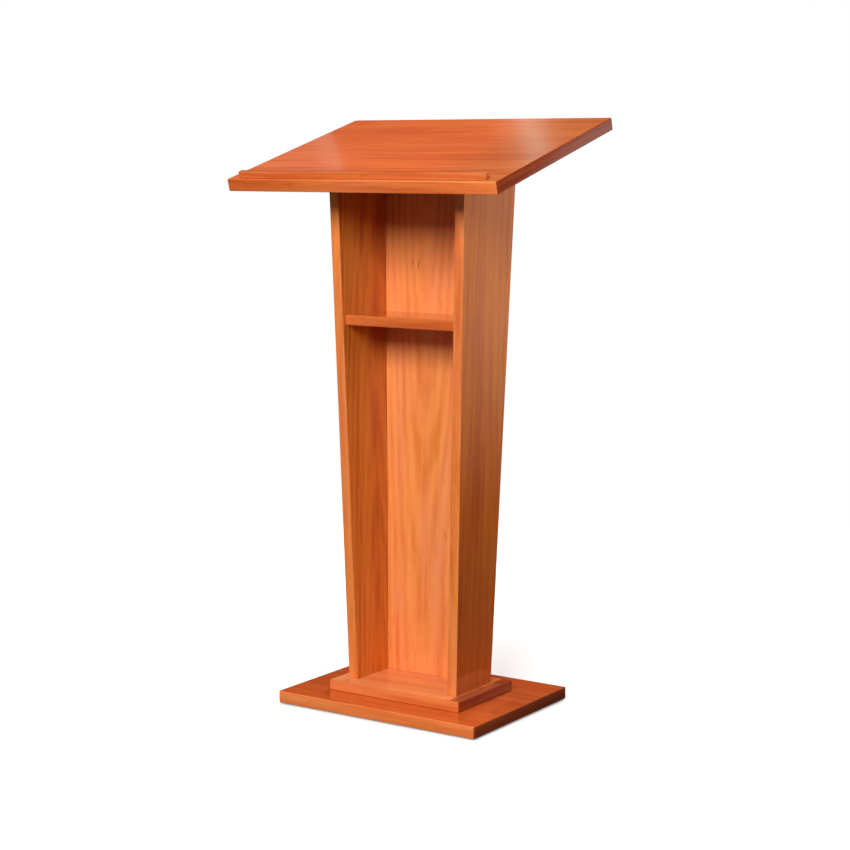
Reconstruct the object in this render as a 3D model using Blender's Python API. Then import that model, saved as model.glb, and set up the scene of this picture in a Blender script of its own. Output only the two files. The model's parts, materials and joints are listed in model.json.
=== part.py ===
"""Presentation lectern: a tilted desk on a flared column with a stepped foot.

World frame: metres, +Z up, origin on the floor below the middle of the desk board.
-Y is the speaker's open side, +Y is the audience's side, +X is the speaker's right.

The column is an upside-down pyramid stump. Its boards are sawn from blanks by the planes
that bound the column, so every bevelled edge, foot and head cut follows the same planes.
"""
import math
from dataclasses import dataclass

import bmesh
import bpy
from mathutils import Matrix, Vector

# ---------------------------------------------------------------- driving sizes (metres)
OVERALL_HEIGHT = 1.150          # floor to the desk's high edge
GAP = 0.0003                    # glue line, or clearance round a fastener

GLIDE_HEIGHT = 0.002            # base plate's underside above the floor
GLIDE_RADIUS = 0.011
GLIDE_PIN_RADIUS = 0.0025
GLIDE_PIN_LENGTH = 0.010
GLIDE_INSET = 0.030             # glide centre from the base plate's edges

BASE_THICKNESS = 0.023
BASE_CORNER_RADIUS = 0.005
BASE_SIDE_STEP = 0.0755         # base plate beyond the plinth, each side
BASE_SPEAKER_STEP = 0.066
BASE_AUDIENCE_STEP = 0.084

PLINTH_THICKNESS = 0.020
PLINTH_CORNER_RADIUS = 0.005
PLINTH_SIDE_STEP = 0.0265       # plinth beyond the column, each side
PLINTH_SPEAKER_STEP = 0.032
PLINTH_AUDIENCE_STEP = 0.0395

PANEL_THICKNESS = 0.020         # side panels and front panel
COLUMN_FOOT_WIDTH = 0.251
COLUMN_FOOT_DEPTH = 0.129
COLUMN_FORWARD = 0.0095         # column foot's middle, towards the audience
SIDE_LEAN = math.radians(1.65)  # each side panel, outwards
SPEAKER_LEAN = math.radians(1.85)
AUDIENCE_LEAN = math.radians(1.40)

SHELF_CLEARANCE = 0.2975        # above the shelf, up to the middle of the desk's underside
SHELF_THICKNESS = 0.020
SHELF_SETBACK = 0.010           # shelf's front edge behind the side panels' edges

DESK_WIDTH = 0.600
DESK_LENGTH = 0.445             # low edge to high edge, up the slope
DESK_THICKNESS = 0.023
DESK_CORNER_RADIUS = 0.006
DESK_TILT = math.radians(16.0)

STOP_END_INSET = 0.025          # book stop short of the desk's sides
STOP_DEPTH = 0.012
STOP_HEIGHT = 0.013
STOP_SETBACK = 0.008            # book stop behind the desk's low edge
STOP_END_RADIUS = 0.0025

BAND_THICKNESS = 0.002          # edge banding of every board
EDGE_EASE = 0.0012              # radius worked on the outer arrises
SEAM_EASE = 0.0004              # lighter radius where two boards finish flush

CLEAT_WIDTH = 0.022
CLEAT_HEIGHT = 0.022
CLEAT_SPEAKER_SETBACK = 0.022
CLEAT_AUDIENCE_SETBACK = 0.006

SCREW_RADIUS = 0.0020           # shank
SCREW_HEAD_RADIUS = 0.0040
SCREW_POINT_LENGTH = 0.004
SCREW_END_BITE = 0.030          # into the end of an upright board
SCREW_RECESS = 0.0005           # head below the board's face
HOLE_EXTRA_DEPTH = 0.001        # a blind hole beyond the fastener's end
BASE_SCREW_INSET = 0.020        # from the plinth's edges
PANEL_SCREW_INSET = 0.028       # from the side panel's edges
FRONT_SCREW_INSET = 0.055       # from the front panel's edges

DOWEL_RADIUS = 0.004
DOWEL_CHAMFER = 0.001
DOWEL_END_BITE = 0.020          # into a board's end
DOWEL_INSET = 0.120             # end dowels of the front panel, from its foot and head
FRONT_DOWELS_PER_SIDE = 3
SHELF_DOWEL_INSET = 0.030       # from the shelf's front and back
STOP_PIN_RADIUS = 0.0020
STOP_PIN_INSET = 0.060          # end pins from the book stop's ends
STOP_PINS = 3

BITE_SHARE = 0.6                # share of a board's thickness that a fastener enters

CORNER_STEPS = 6                # facets of a rounded corner
EASE_STEPS = 2                  # facets of an eased arris
ROUND_STEPS = 16                # facets round a fastener
SMOOTH_ANGLE = math.radians(35)
TOUCH = 1e-5                    # how near a vertex lies to a plane that it belongs to

# ---------------------------------------------------------------- sizes that follow
BASE_TOP = GLIDE_HEIGHT + BASE_THICKNESS
PLINTH_TOP = BASE_TOP + GAP + PLINTH_THICKNESS
FOOT_HALF_WIDTH = COLUMN_FOOT_WIDTH / 2
FOOT_HALF_DEPTH = COLUMN_FOOT_DEPTH / 2
STOP_LENGTH = DESK_WIDTH - 2 * STOP_END_INSET
DESK_RISE = DESK_LENGTH / 2 * math.sin(DESK_TILT) + DESK_THICKNESS * math.cos(DESK_TILT)
DESK_MIDDLE = Vector((0, DESK_THICKNESS / 2 * math.sin(DESK_TILT), OVERALL_HEIGHT - DESK_RISE))
COLUMN_FOOT = Vector((0, COLUMN_FORWARD, PLINTH_TOP))
BLANK = 4 * OVERALL_HEIGHT

# ---------------------------------------------------------------- finishes
# Base colour (linear), roughness, metallic.
CHERRY_FACE = ((0.68, 0.150, 0.046), 0.32, 0.0)
CHERRY_EDGE = ((0.62, 0.138, 0.042), 0.38, 0.0)
BEECH = ((0.56, 0.36, 0.19), 0.60, 0.0)
ZINC_STEEL = ((0.56, 0.55, 0.50), 0.35, 1.0)
BLACK_NYLON = ((0.02, 0.02, 0.02), 0.55, 0.0)


@dataclass(frozen=True)
class Plane:
    """A saw cut: what lies on the side of its normal is waste."""

    point: Vector
    normal: Vector

    def inset(self, distance):
        """Return the parallel plane that lies deeper in the board."""
        return Plane(self.point - self.normal * distance, self.normal)

    def reversed(self):
        """Return the same plane with its waste on the other side."""
        return Plane(self.point, -self.normal)

    def holds(self, vertex):
        """Say whether a vertex lies on the plane."""
        return abs((vertex.co - self.point).dot(self.normal)) < TOUCH


@dataclass(frozen=True)
class Footprint:
    """A rectangle on plan, symmetric about the speaker's line of sight."""

    half_width: float
    speaker_y: float
    audience_y: float

    def grown(self, side, speaker, audience):
        """Return the footprint stepped out by three margins."""
        return Footprint(self.half_width + side, self.speaker_y - speaker, self.audience_y + audience)

    @property
    def depth(self):
        """Size along Y."""
        return self.audience_y - self.speaker_y

    @property
    def middle_y(self):
        """Centre along Y."""
        return (self.audience_y + self.speaker_y) / 2


# ---------------------------------------------------------------- scene helpers
def clear_scene():
    """Remove whatever the scene holds."""
    for item in list(bpy.data.objects):
        bpy.data.objects.remove(item, do_unlink=True)


def frame_empty(name, location, tilt=0.0):
    """Add an empty that carries one sub-assembly."""
    empty = bpy.data.objects.new(name, None)
    empty.empty_display_size = 0.05
    empty.location = location
    empty.rotation_euler = (tilt, 0, 0)
    bpy.context.scene.collection.objects.link(empty)
    return empty


def paint(item, finish):
    """Give an object its own Principled material."""
    colour, roughness, metallic = finish
    material = bpy.data.materials.new(item.name)
    material.use_nodes = True
    shader = material.node_tree.nodes["Principled BSDF"]
    shader.inputs["Base Color"].default_value = (*colour, 1.0)
    shader.inputs["Roughness"].default_value = roughness
    shader.inputs["Metallic"].default_value = metallic
    item.data.materials.append(material)


def add_mesh(name, bm, parent):
    """Turn a bmesh into an object of the given sub-assembly."""
    bmesh.ops.recalc_face_normals(bm, faces=bm.faces[:])
    mesh = bpy.data.meshes.new(name)
    bm.to_mesh(mesh)
    bm.free()
    item = bpy.data.objects.new(name, mesh)
    item.parent = parent
    bpy.context.scene.collection.objects.link(item)
    return item


def ease_arrises(item, width=EDGE_EASE):
    """Round the edges that carry a bevel weight."""
    bevel = item.modifiers.new("eased_arrises", "BEVEL")
    bevel.limit_method = "WEIGHT"
    bevel.width = width
    bevel.segments = EASE_STEPS


def cut(item, *cutters):
    """Bore or recess a piece with hidden cutters."""
    for cutter in cutters:
        boolean = item.modifiers.new(cutter.name, "BOOLEAN")
        boolean.operation = "DIFFERENCE"
        boolean.solver = "EXACT"
        boolean.object = cutter


def hide_cutter(item):
    """Show a cutter as a wire and keep it out of the model."""
    item.hide_render = True
    item.display_type = "WIRE"
    return item


# ---------------------------------------------------------------- boards
def sawn_board(name, cuts, finish, parent, eased=()):
    """Saw a blank down to the convex board inside all the cuts.

    eased lists (plane, plane, radius) for the arrises to be rounded, no radius over EDGE_EASE.
    """
    bm = bmesh.new()
    bmesh.ops.create_cube(bm, size=BLANK)
    for plane in cuts:
        stock = bm.verts[:] + bm.edges[:] + bm.faces[:]
        sawn = bmesh.ops.bisect_plane(
            bm, geom=stock, plane_co=plane.point, plane_no=plane.normal, clear_outer=True)
        rim = [part for part in sawn["geom_cut"] if isinstance(part, bmesh.types.BMEdge)]
        bmesh.ops.edgenet_fill(bm, edges=rim)
    weight = bm.edges.layers.float.new("bevel_weight_edge")
    for first, second, radius in eased:
        for edge in bm.edges:
            if all(first.holds(vertex) and second.holds(vertex) for vertex in edge.verts):
                edge[weight] = radius / EDGE_EASE
    board = add_mesh(name, bm, parent)
    if eased:
        ease_arrises(board)
    paint(board, finish)
    return board


def rounded_outline(width, depth, radius):
    """List the corners of a rectangle with rounded corners, anticlockwise about its centre."""
    radius = max(radius, TOUCH)
    points = []
    for corner in range(4):
        across = width / 2 - radius if corner in (0, 3) else radius - width / 2
        along = depth / 2 - radius if corner in (0, 1) else radius - depth / 2
        for step in range(CORNER_STEPS + 1):
            angle = (corner + step / CORNER_STEPS) * math.pi / 2
            points.append((across + radius * math.cos(angle), along + radius * math.sin(angle)))
    return points


def raise_faces(bm, thickness):
    """Extrude a flat outline upwards into a closed solid."""
    raised = bmesh.ops.extrude_face_region(bm, geom=bm.faces[:], use_keep_orig=True)
    top = [part for part in raised["geom"] if isinstance(part, bmesh.types.BMVert)]
    bmesh.ops.translate(bm, verts=top, vec=(0, 0, thickness))


def rounded_board(name, width, depth, thickness, radius, finish, parent):
    """Make a flat board with rounded corners, its underside on its origin."""
    bm = bmesh.new()
    rim = [bm.verts.new((x, y, 0)) for x, y in rounded_outline(width, depth, radius)]
    bm.faces.new(rim)
    raise_faces(bm, thickness)
    board = add_mesh(name, bm, parent)
    paint(board, finish)
    return board


def edge_band(name, width, depth, thickness, radius, finish, parent):
    """Make the closed band round a board, with its outer arrises eased."""
    bm = bmesh.new()
    outer_points = rounded_outline(width, depth, radius)
    inner_points = rounded_outline(
        width - 2 * BAND_THICKNESS, depth - 2 * BAND_THICKNESS, radius - BAND_THICKNESS)
    outer = [bm.verts.new((x, y, 0)) for x, y in outer_points]
    inner = [bm.verts.new((x, y, 0)) for x, y in inner_points]
    weight = bm.edges.layers.float.new("bevel_weight_edge")
    for index, vertex in enumerate(outer):
        bm.faces.new((inner[index - 1], outer[index - 1], vertex, inner[index]))
        bm.edges.get((outer[index - 1], vertex))[weight] = 1.0
    raise_faces(bm, thickness)
    band = add_mesh(name, bm, parent)
    ease_arrises(band, min(EDGE_EASE, BAND_THICKNESS * BITE_SHARE))
    band.data.shade_smooth()
    band.data.set_sharp_from_angle(angle=SMOOTH_ANGLE)
    paint(band, finish)
    return band


def banded_board(name, width, depth, thickness, radius, centre, parent):
    """Make a board and the band round it; centre is the middle of the underside."""
    reach = BAND_THICKNESS + GAP
    board = rounded_board(
        name, width - 2 * reach, depth - 2 * reach, thickness, radius - reach, CHERRY_FACE, parent)
    band = edge_band(f"{name}_edge_band", width, depth, thickness, radius, CHERRY_EDGE, parent)
    for item in (board, band):
        item.location = centre
    return board


# ---------------------------------------------------------------- turned pieces
def turned(name, profile, point, direction, parent):
    """Turn a profile of (radius, distance) pairs about an axis from a point along a direction."""
    bm = bmesh.new()
    verts = [bm.verts.new((radius, 0, distance)) for radius, distance in profile]
    edges = [bm.edges.new(pair) for pair in zip(verts, verts[1:])]
    bmesh.ops.spin(
        bm, geom=verts + edges, axis=(0, 0, 1), cent=(0, 0, 0), angle=2 * math.pi, steps=ROUND_STEPS)
    bmesh.ops.remove_doubles(bm, verts=bm.verts[:], dist=TOUCH)
    item = add_mesh(name, bm, parent)
    item.location = point
    item.rotation_mode = "QUATERNION"
    item.rotation_quaternion = Vector(direction).to_track_quat("Z", "Y")
    item.data.shade_smooth()
    item.data.set_sharp_from_angle(angle=SMOOTH_ANGLE)
    return item


def screw_profile(length, clearance=0.0, extra=0.0):
    """Profile of a countersunk screw with its head's face at distance zero."""
    shank = SCREW_RADIUS + clearance
    head = SCREW_HEAD_RADIUS + clearance
    tip = length + extra
    return [
        (0, -extra), (head, -extra), (head, 0), (shank, head - shank),
        (shank, tip - SCREW_POINT_LENGTH), (0, tip)]


def screw(name, point, direction, length, parent, *boards):
    """Drive a countersunk screw from point along direction, and bore the boards for it."""
    start = Vector(point) + Vector(direction) * SCREW_RECESS
    item = turned(name, screw_profile(length - SCREW_RECESS), start, direction, parent)
    paint(item, ZINC_STEEL)
    bore_profile = screw_profile(length - SCREW_RECESS, GAP, HOLE_EXTRA_DEPTH)
    bore = hide_cutter(turned(f"{name}_bore", bore_profile, start, direction, parent))
    for board in boards:
        cut(board, bore)
    return item


def dowel_profile(radius, first, last, chamfer):
    """Profile of a dowel with chamfered ends between two distances."""
    return [
        (0, first), (radius - chamfer, first), (radius, first + chamfer),
        (radius, last - chamfer), (radius - chamfer, last), (0, last)]


def dowel(name, point, direction, back, ahead, radius, parent, *boards):
    """Set a dowel across a joint at point, reaching back and ahead of it, and bore the boards."""
    chamfer = min(DOWEL_CHAMFER, radius / 2)
    profile = dowel_profile(radius, -back, ahead, chamfer)
    item = turned(name, profile, point, direction, parent)
    paint(item, BEECH)
    hole = [(0, -back - HOLE_EXTRA_DEPTH), (radius + GAP, -back - HOLE_EXTRA_DEPTH),
            (radius + GAP, ahead + HOLE_EXTRA_DEPTH), (0, ahead + HOLE_EXTRA_DEPTH)]
    bore = hide_cutter(turned(f"{name}_bore", hole, point, direction, parent))
    for board in boards:
        cut(board, bore)
    return item


# ---------------------------------------------------------------- foot
COLUMN_PRINT = Footprint(
    FOOT_HALF_WIDTH, COLUMN_FORWARD - FOOT_HALF_DEPTH, COLUMN_FORWARD + FOOT_HALF_DEPTH)
PLINTH_PRINT = COLUMN_PRINT.grown(PLINTH_SIDE_STEP, PLINTH_SPEAKER_STEP, PLINTH_AUDIENCE_STEP)
BASE_PRINT = PLINTH_PRINT.grown(BASE_SIDE_STEP, BASE_SPEAKER_STEP, BASE_AUDIENCE_STEP)


def foot_board(name, footprint, thickness, radius, height, parent):
    """Make one banded board of the foot, with its underside at the given height."""
    centre = (0, footprint.middle_y, height)
    return banded_board(
        name, 2 * footprint.half_width, footprint.depth, thickness, radius, centre, parent)


def corners(footprint, inset):
    """Yield a name and a plan position for each corner of a footprint, stepped inwards."""
    for side_name, side in (("left", -1), ("right", 1)):
        x = side * (footprint.half_width - inset)
        yield f"{side_name}_speaker", x, footprint.speaker_y + inset
        yield f"{side_name}_audience", x, footprint.audience_y - inset


def glide(name, x, y, base_plate, parent):
    """Make a nail-on glide: a pad on the floor and a pin up in the base plate."""
    pad_top = GLIDE_HEIGHT - GAP
    rim = pad_top / 3
    pin_top = GLIDE_HEIGHT + GLIDE_PIN_LENGTH
    profile = [
        (0, 0), (GLIDE_RADIUS - rim, 0), (GLIDE_RADIUS, rim), (GLIDE_RADIUS, pad_top),
        (GLIDE_PIN_RADIUS, pad_top), (GLIDE_PIN_RADIUS, pin_top - GLIDE_PIN_RADIUS), (0, pin_top)]
    item = turned(name, profile, (x, y, 0), (0, 0, 1), parent)
    paint(item, BLACK_NYLON)
    hole_radius = GLIDE_PIN_RADIUS + GAP
    hole_top = pin_top + HOLE_EXTRA_DEPTH
    hole = [(0, 0), (hole_radius, 0), (hole_radius, hole_top), (0, hole_top)]
    cut(base_plate, hide_cutter(turned(f"{name}_bore", hole, (x, y, 0), (0, 0, 1), parent)))


def build_foot():
    """Build the base plate, its glides, and the plinth screwed to it."""
    foot = frame_empty("foot", (0, 0, 0))
    base_plate = foot_board(
        "base_plate", BASE_PRINT, BASE_THICKNESS, BASE_CORNER_RADIUS, GLIDE_HEIGHT, foot)
    plinth = foot_board(
        "plinth", PLINTH_PRINT, PLINTH_THICKNESS, PLINTH_CORNER_RADIUS, BASE_TOP + GAP, foot)
    for place, x, y in corners(BASE_PRINT, GLIDE_INSET):
        glide(f"glide_{place}", x, y, base_plate, foot)
    length = BASE_THICKNESS + BITE_SHARE * PLINTH_THICKNESS
    for place, x, y in corners(PLINTH_PRINT, BASE_SCREW_INSET):
        screw(f"base_screw_{place}", (x, y, GLIDE_HEIGHT), (0, 0, 1), length, foot, base_plate, plinth)
    return plinth


# ---------------------------------------------------------------- column
# The column's own frame has its origin in the middle of the column's foot.
SPEAKER_FACE = Plane(
    Vector((0, -FOOT_HALF_DEPTH, 0)), Vector((0, -math.cos(SPEAKER_LEAN), -math.sin(SPEAKER_LEAN))))
AUDIENCE_FACE = Plane(
    Vector((0, FOOT_HALF_DEPTH, 0)), Vector((0, math.cos(AUDIENCE_LEAN), -math.sin(AUDIENCE_LEAN))))
FRONT_INNER_FACE = AUDIENCE_FACE.inset(PANEL_THICKNESS)
FOOT_CUT = Plane(Vector((0, 0, GAP)), Vector((0, 0, -1)))
DESK_NORMAL = Vector((0, -math.sin(DESK_TILT), math.cos(DESK_TILT)))
HEAD_CUT = Plane(DESK_MIDDLE - COLUMN_FOOT, DESK_NORMAL).inset(GAP)


def side_face(side):
    """Outer face of the side panel on the given side (-1 left, 1 right)."""
    return Plane(
        Vector((side * FOOT_HALF_WIDTH, 0, 0)),
        Vector((side * math.cos(SIDE_LEAN), 0, -math.sin(SIDE_LEAN))))


def inner_face(side):
    """Inner face of the side panel on the given side."""
    return side_face(side).inset(PANEL_THICKNESS)


def height_on(plane, x, y):
    """Height at which an upright line through (x, y) meets a plane."""
    flat = Vector((x, y, 0)) - plane.point
    return -flat.dot(plane.normal) / plane.normal.z


def point_on(plane, y, z):
    """Point of a side plane at the given depth and height."""
    flat = Vector((0, y, z)) - plane.point
    return Vector((-flat.dot(plane.normal) / plane.normal.x, y, z))


def depth_on(plane, z):
    """Depth at which a speaker or audience plane lies at the given height."""
    flat = Vector((0, 0, z)) - plane.point
    return -flat.dot(plane.normal) / plane.normal.y


def side_panel(name, side, parent):
    """Make one side panel and the bands on its two upright edges."""
    outer = side_face(side)
    inner = inner_face(side).reversed()
    reach = BAND_THICKNESS + GAP
    panel = sawn_board(
        f"side_panel_{name}",
        [outer, inner, SPEAKER_FACE.inset(reach), AUDIENCE_FACE.inset(reach), FOOT_CUT, HEAD_CUT],
        CHERRY_FACE, parent)
    for place, face, inner_ease in (
            ("speaker", SPEAKER_FACE, EDGE_EASE), ("audience", AUDIENCE_FACE, SEAM_EASE)):
        back = face.inset(BAND_THICKNESS).reversed()
        sawn_board(
            f"side_edge_band_{name}_{place}",
            [outer, inner, face, back, FOOT_CUT, HEAD_CUT],
            CHERRY_EDGE, parent, eased=[(outer, face, EDGE_EASE), (inner, face, inner_ease)])
    return panel


def front_panel(parent):
    """Make the front panel, set between the side panels and flush with their audience edges."""
    ends = [inner_face(side).inset(GAP) for side in (-1, 1)]
    return sawn_board(
        "front_panel",
        [AUDIENCE_FACE, FRONT_INNER_FACE.reversed(), *ends, FOOT_CUT, HEAD_CUT],
        CHERRY_FACE, parent, eased=[(AUDIENCE_FACE, end, SEAM_EASE) for end in ends])


def join_front_panel(front, panels, parent):
    """Dowel the front panel between the side panels, square to their inner faces."""
    middle = AUDIENCE_FACE.inset(PANEL_THICKNESS / 2)
    head = height_on(HEAD_CUT, 0, FOOT_HALF_DEPTH)
    spread = (head - 2 * DOWEL_INSET) / (FRONT_DOWELS_PER_SIDE - 1)
    for name, side in (("left", -1), ("right", 1)):
        for index in range(FRONT_DOWELS_PER_SIDE):
            z = DOWEL_INSET + index * spread
            face = inner_face(side)
            point = point_on(face, depth_on(middle, z), z)
            dowel(
                f"front_dowel_{name}_{index + 1}", point, face.normal, DOWEL_END_BITE,
                BITE_SHARE * PANEL_THICKNESS, DOWEL_RADIUS, parent, front, panels[side])


def build_shelf(panels, parent):
    """Make the fixed shelf, dowelled between the side panels."""
    under = DESK_MIDDLE.z - SHELF_CLEARANCE - SHELF_THICKNESS - PLINTH_TOP
    middle = under + SHELF_THICKNESS / 2
    front_y = depth_on(SPEAKER_FACE, middle) + SHELF_SETBACK
    bottom = Plane(Vector((0, 0, under)), Vector((0, 0, -1)))
    top = Plane(Vector((0, 0, under + SHELF_THICKNESS)), Vector((0, 0, 1)))
    front = Plane(Vector((0, front_y, 0)), Vector((0, -1, 0)))
    back = FRONT_INNER_FACE.inset(GAP)
    ends = [inner_face(side).inset(GAP) for side in (-1, 1)]
    shelf = sawn_board(
        "shelf", [bottom, top, front.inset(BAND_THICKNESS + GAP), back, *ends], CHERRY_FACE, parent)
    sawn_board(
        "shelf_edge_band", [bottom, top, front, front.inset(BAND_THICKNESS).reversed(), *ends],
        CHERRY_EDGE, parent, eased=[(front, bottom, EDGE_EASE), (front, top, EDGE_EASE)])
    rows = (
        ("speaker", front_y + SHELF_DOWEL_INSET),
        ("audience", depth_on(back, middle) - SHELF_DOWEL_INSET))
    for name, side in (("left", -1), ("right", 1)):
        for place, y in rows:
            face = inner_face(side)
            dowel(
                f"shelf_dowel_{name}_{place}", point_on(face, y, middle), face.normal,
                DOWEL_END_BITE, BITE_SHARE * PANEL_THICKNESS, DOWEL_RADIUS, parent,
                shelf, panels[side])


def screw_to_plinth(plinth, front, panels, parent):
    """Drive screws up through the plinth into the feet of the three upright panels."""
    length = PLINTH_THICKNESS + SCREW_END_BITE
    under = -PLINTH_THICKNESS
    x_panel = FOOT_HALF_WIDTH - PANEL_THICKNESS / 2
    x_front = FOOT_HALF_WIDTH - PANEL_THICKNESS - FRONT_SCREW_INSET
    y_screw = FOOT_HALF_DEPTH - PANEL_SCREW_INSET
    y_front = FOOT_HALF_DEPTH - PANEL_THICKNESS / 2
    for name, side in (("left", -1), ("right", 1)):
        for place, y in (("speaker", -y_screw), ("audience", y_screw)):
            screw(
                f"panel_screw_{name}_{place}", (side * x_panel, y, under), (0, 0, 1),
                length, parent, plinth, panels[side])
        screw(
            f"front_screw_{name}", (side * x_front, y_front, under), (0, 0, 1),
            length, parent, plinth, front)


# ---------------------------------------------------------------- desk
def build_cleat(name, side, panel, desk_board, column, desk):
    """Make one cleat in the head of the column, screwed to its side panel and to the desk."""
    against = inner_face(side).inset(GAP)
    under = HEAD_CUT.inset(CLEAT_HEIGHT)
    ends = [SPEAKER_FACE.inset(CLEAT_SPEAKER_SETBACK), FRONT_INNER_FACE.inset(CLEAT_AUDIENCE_SETBACK)]
    cleat = sawn_board(
        f"cleat_{name}",
        [against, against.inset(CLEAT_WIDTH).reversed(), HEAD_CUT, under.reversed(), *ends],
        BEECH, column)
    head = height_on(HEAD_CUT, 0, 0)
    first, last = (depth_on(end, head) for end in ends)
    centre_line = HEAD_CUT.inset(CLEAT_HEIGHT / 2)
    for place, share in (("speaker", 0.36), ("audience", 0.64)):
        y = first + share * (last - first)
        point = point_on(against, y, height_on(centre_line, 0, y))
        start = point - against.normal * CLEAT_WIDTH
        length = CLEAT_WIDTH + BITE_SHARE * PANEL_THICKNESS
        screw(
            f"cleat_side_screw_{name}_{place}", start, against.normal, length, column, cleat, panel)
    to_desk = Matrix.Rotation(-DESK_TILT, 3, "X")
    for place, share in (("speaker", 0.16), ("audience", 0.84)):
        y = first + share * (last - first)
        z = height_on(under, 0, y)
        middle = point_on(against.inset(CLEAT_WIDTH / 2), y, z)
        start = to_desk @ (middle + COLUMN_FOOT - DESK_MIDDLE)
        length = CLEAT_HEIGHT + BITE_SHARE * DESK_THICKNESS
        screw(
            f"cleat_desk_screw_{name}_{place}", start, (0, 0, 1), length, desk, cleat, desk_board)


def build_book_stop(desk_board, desk):
    """Make the book stop on the desk's low edge, with the pins that hold it."""
    stop = rounded_board(
        "book_stop", STOP_LENGTH, STOP_DEPTH, STOP_HEIGHT, STOP_END_RADIUS, CHERRY_EDGE, desk)
    middle_y = STOP_SETBACK + STOP_DEPTH / 2 - DESK_LENGTH / 2
    stop.location = (0, middle_y, DESK_THICKNESS + GAP)
    ease = stop.modifiers.new("eased_arrises", "BEVEL")
    ease.limit_method = "ANGLE"
    ease.angle_limit = math.radians(60)
    ease.width = EDGE_EASE
    ease.segments = EASE_STEPS
    spread = (STOP_LENGTH - 2 * STOP_PIN_INSET) / (STOP_PINS - 1)
    for index in range(STOP_PINS):
        x = STOP_PIN_INSET - STOP_LENGTH / 2 + index * spread
        dowel(
            f"stop_pin_{index + 1}", (x, middle_y, DESK_THICKNESS), (0, 0, 1),
            BITE_SHARE * DESK_THICKNESS, BITE_SHARE * STOP_HEIGHT, STOP_PIN_RADIUS, desk,
            desk_board, stop)


def build_desk(panels, column):
    """Build the tilted desk board, its book stop and the cleats that carry it."""
    desk = frame_empty("desk", DESK_MIDDLE, DESK_TILT)
    desk_board = banded_board(
        "desk_board", DESK_WIDTH, DESK_LENGTH, DESK_THICKNESS, DESK_CORNER_RADIUS, (0, 0, 0), desk)
    for name, side in (("left", -1), ("right", 1)):
        build_cleat(name, side, panels[side], desk_board, column, desk)
    build_book_stop(desk_board, desk)


def build_lectern():
    """Build the whole lectern from the floor up."""
    clear_scene()
    plinth = build_foot()
    column = frame_empty("column", COLUMN_FOOT)
    panels = {-1: side_panel("left", -1, column), 1: side_panel("right", 1, column)}
    front = front_panel(column)
    screw_to_plinth(plinth, front, panels, column)
    join_front_panel(front, panels, column)
    build_shelf(panels, column)
    build_desk(panels, column)


build_lectern()
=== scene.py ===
"""Presentation lectern in lacquered cherry veneer: its finish, its studio and its camera.

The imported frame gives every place. Each board, lipping, fastener and fitting of the
lectern is modelled again here with edit-mode tools and takes a procedural finish.
World frame: metres, +Z up, -Y is the speaker's side, +Y the audience's side.
"""

import json
import logging
import math
from collections.abc import Callable, Iterator, Sequence
from contextlib import contextmanager
from dataclasses import dataclass
from enum import Enum
from functools import cached_property
from typing import ClassVar

import bmesh
import bpy
from bpy.types import Material, NodeSocket, Object, World
from mathutils import Matrix, Vector

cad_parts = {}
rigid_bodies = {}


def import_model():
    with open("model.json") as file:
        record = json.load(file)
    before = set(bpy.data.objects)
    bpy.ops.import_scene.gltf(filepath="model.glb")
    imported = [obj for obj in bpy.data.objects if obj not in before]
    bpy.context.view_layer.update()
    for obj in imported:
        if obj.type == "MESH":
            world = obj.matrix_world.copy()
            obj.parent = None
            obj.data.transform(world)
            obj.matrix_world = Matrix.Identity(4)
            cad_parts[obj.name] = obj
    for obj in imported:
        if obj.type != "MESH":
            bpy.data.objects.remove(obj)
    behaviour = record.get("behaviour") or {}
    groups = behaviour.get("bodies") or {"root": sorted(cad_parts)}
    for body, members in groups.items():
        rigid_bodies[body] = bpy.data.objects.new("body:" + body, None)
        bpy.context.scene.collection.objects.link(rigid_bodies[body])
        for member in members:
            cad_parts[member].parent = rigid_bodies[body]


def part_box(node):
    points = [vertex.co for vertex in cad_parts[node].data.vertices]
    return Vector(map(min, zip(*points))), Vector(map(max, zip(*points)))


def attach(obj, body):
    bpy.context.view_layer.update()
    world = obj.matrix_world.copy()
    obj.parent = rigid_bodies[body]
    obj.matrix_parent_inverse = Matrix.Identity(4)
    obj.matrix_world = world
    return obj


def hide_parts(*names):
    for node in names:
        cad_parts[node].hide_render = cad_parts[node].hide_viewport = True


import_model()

LOG = logging.getLogger("lectern")
BODY = "root"                       # the lectern has no joint, so one body carries it all
TOUCH = 1e-5                        # how near a corner lies to a plane that it belongs to
SHARP = math.radians(35)            # edges under this angle are shaded smooth
FULL_TURN = 2 * math.pi
FACING = 0.9                        # how nearly a face picked by its normal looks that way
SLANT = 0.5                         # what parts the faces that look roughly one way from the rest
CLEARANCE = 0.0003                  # glue line, or the room round a fastener
OVERRUN = 0.001                     # how far a hole runs past its fastener
HOLE_STEPS = 20                     # facets round a hole
LOG_SIZE = (4, 4, 4)                # what a board is sawn from, larger than any of them
UP = Vector((0, 0, 1))

Profile = Sequence[tuple[float, float]]     # (radius, distance along the axis), pole to pole
Triple = tuple[float, float, float]
WHITE: Triple = (1.0, 1.0, 1.0)
SKYLIGHT: Triple = (0.45, 1.0, 0.92)        # cool light from a window


def linear(swatch: Sequence[int]) -> Triple:
    """Turn a swatch of 0 to 255, as a screen shows it, into linear light."""
    shares = (level / 255 for level in swatch)
    return tuple(share / 12.92 if share <= 0.04045 else ((share + 0.055) / 1.055) ** 2.4 for share in shares)


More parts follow.
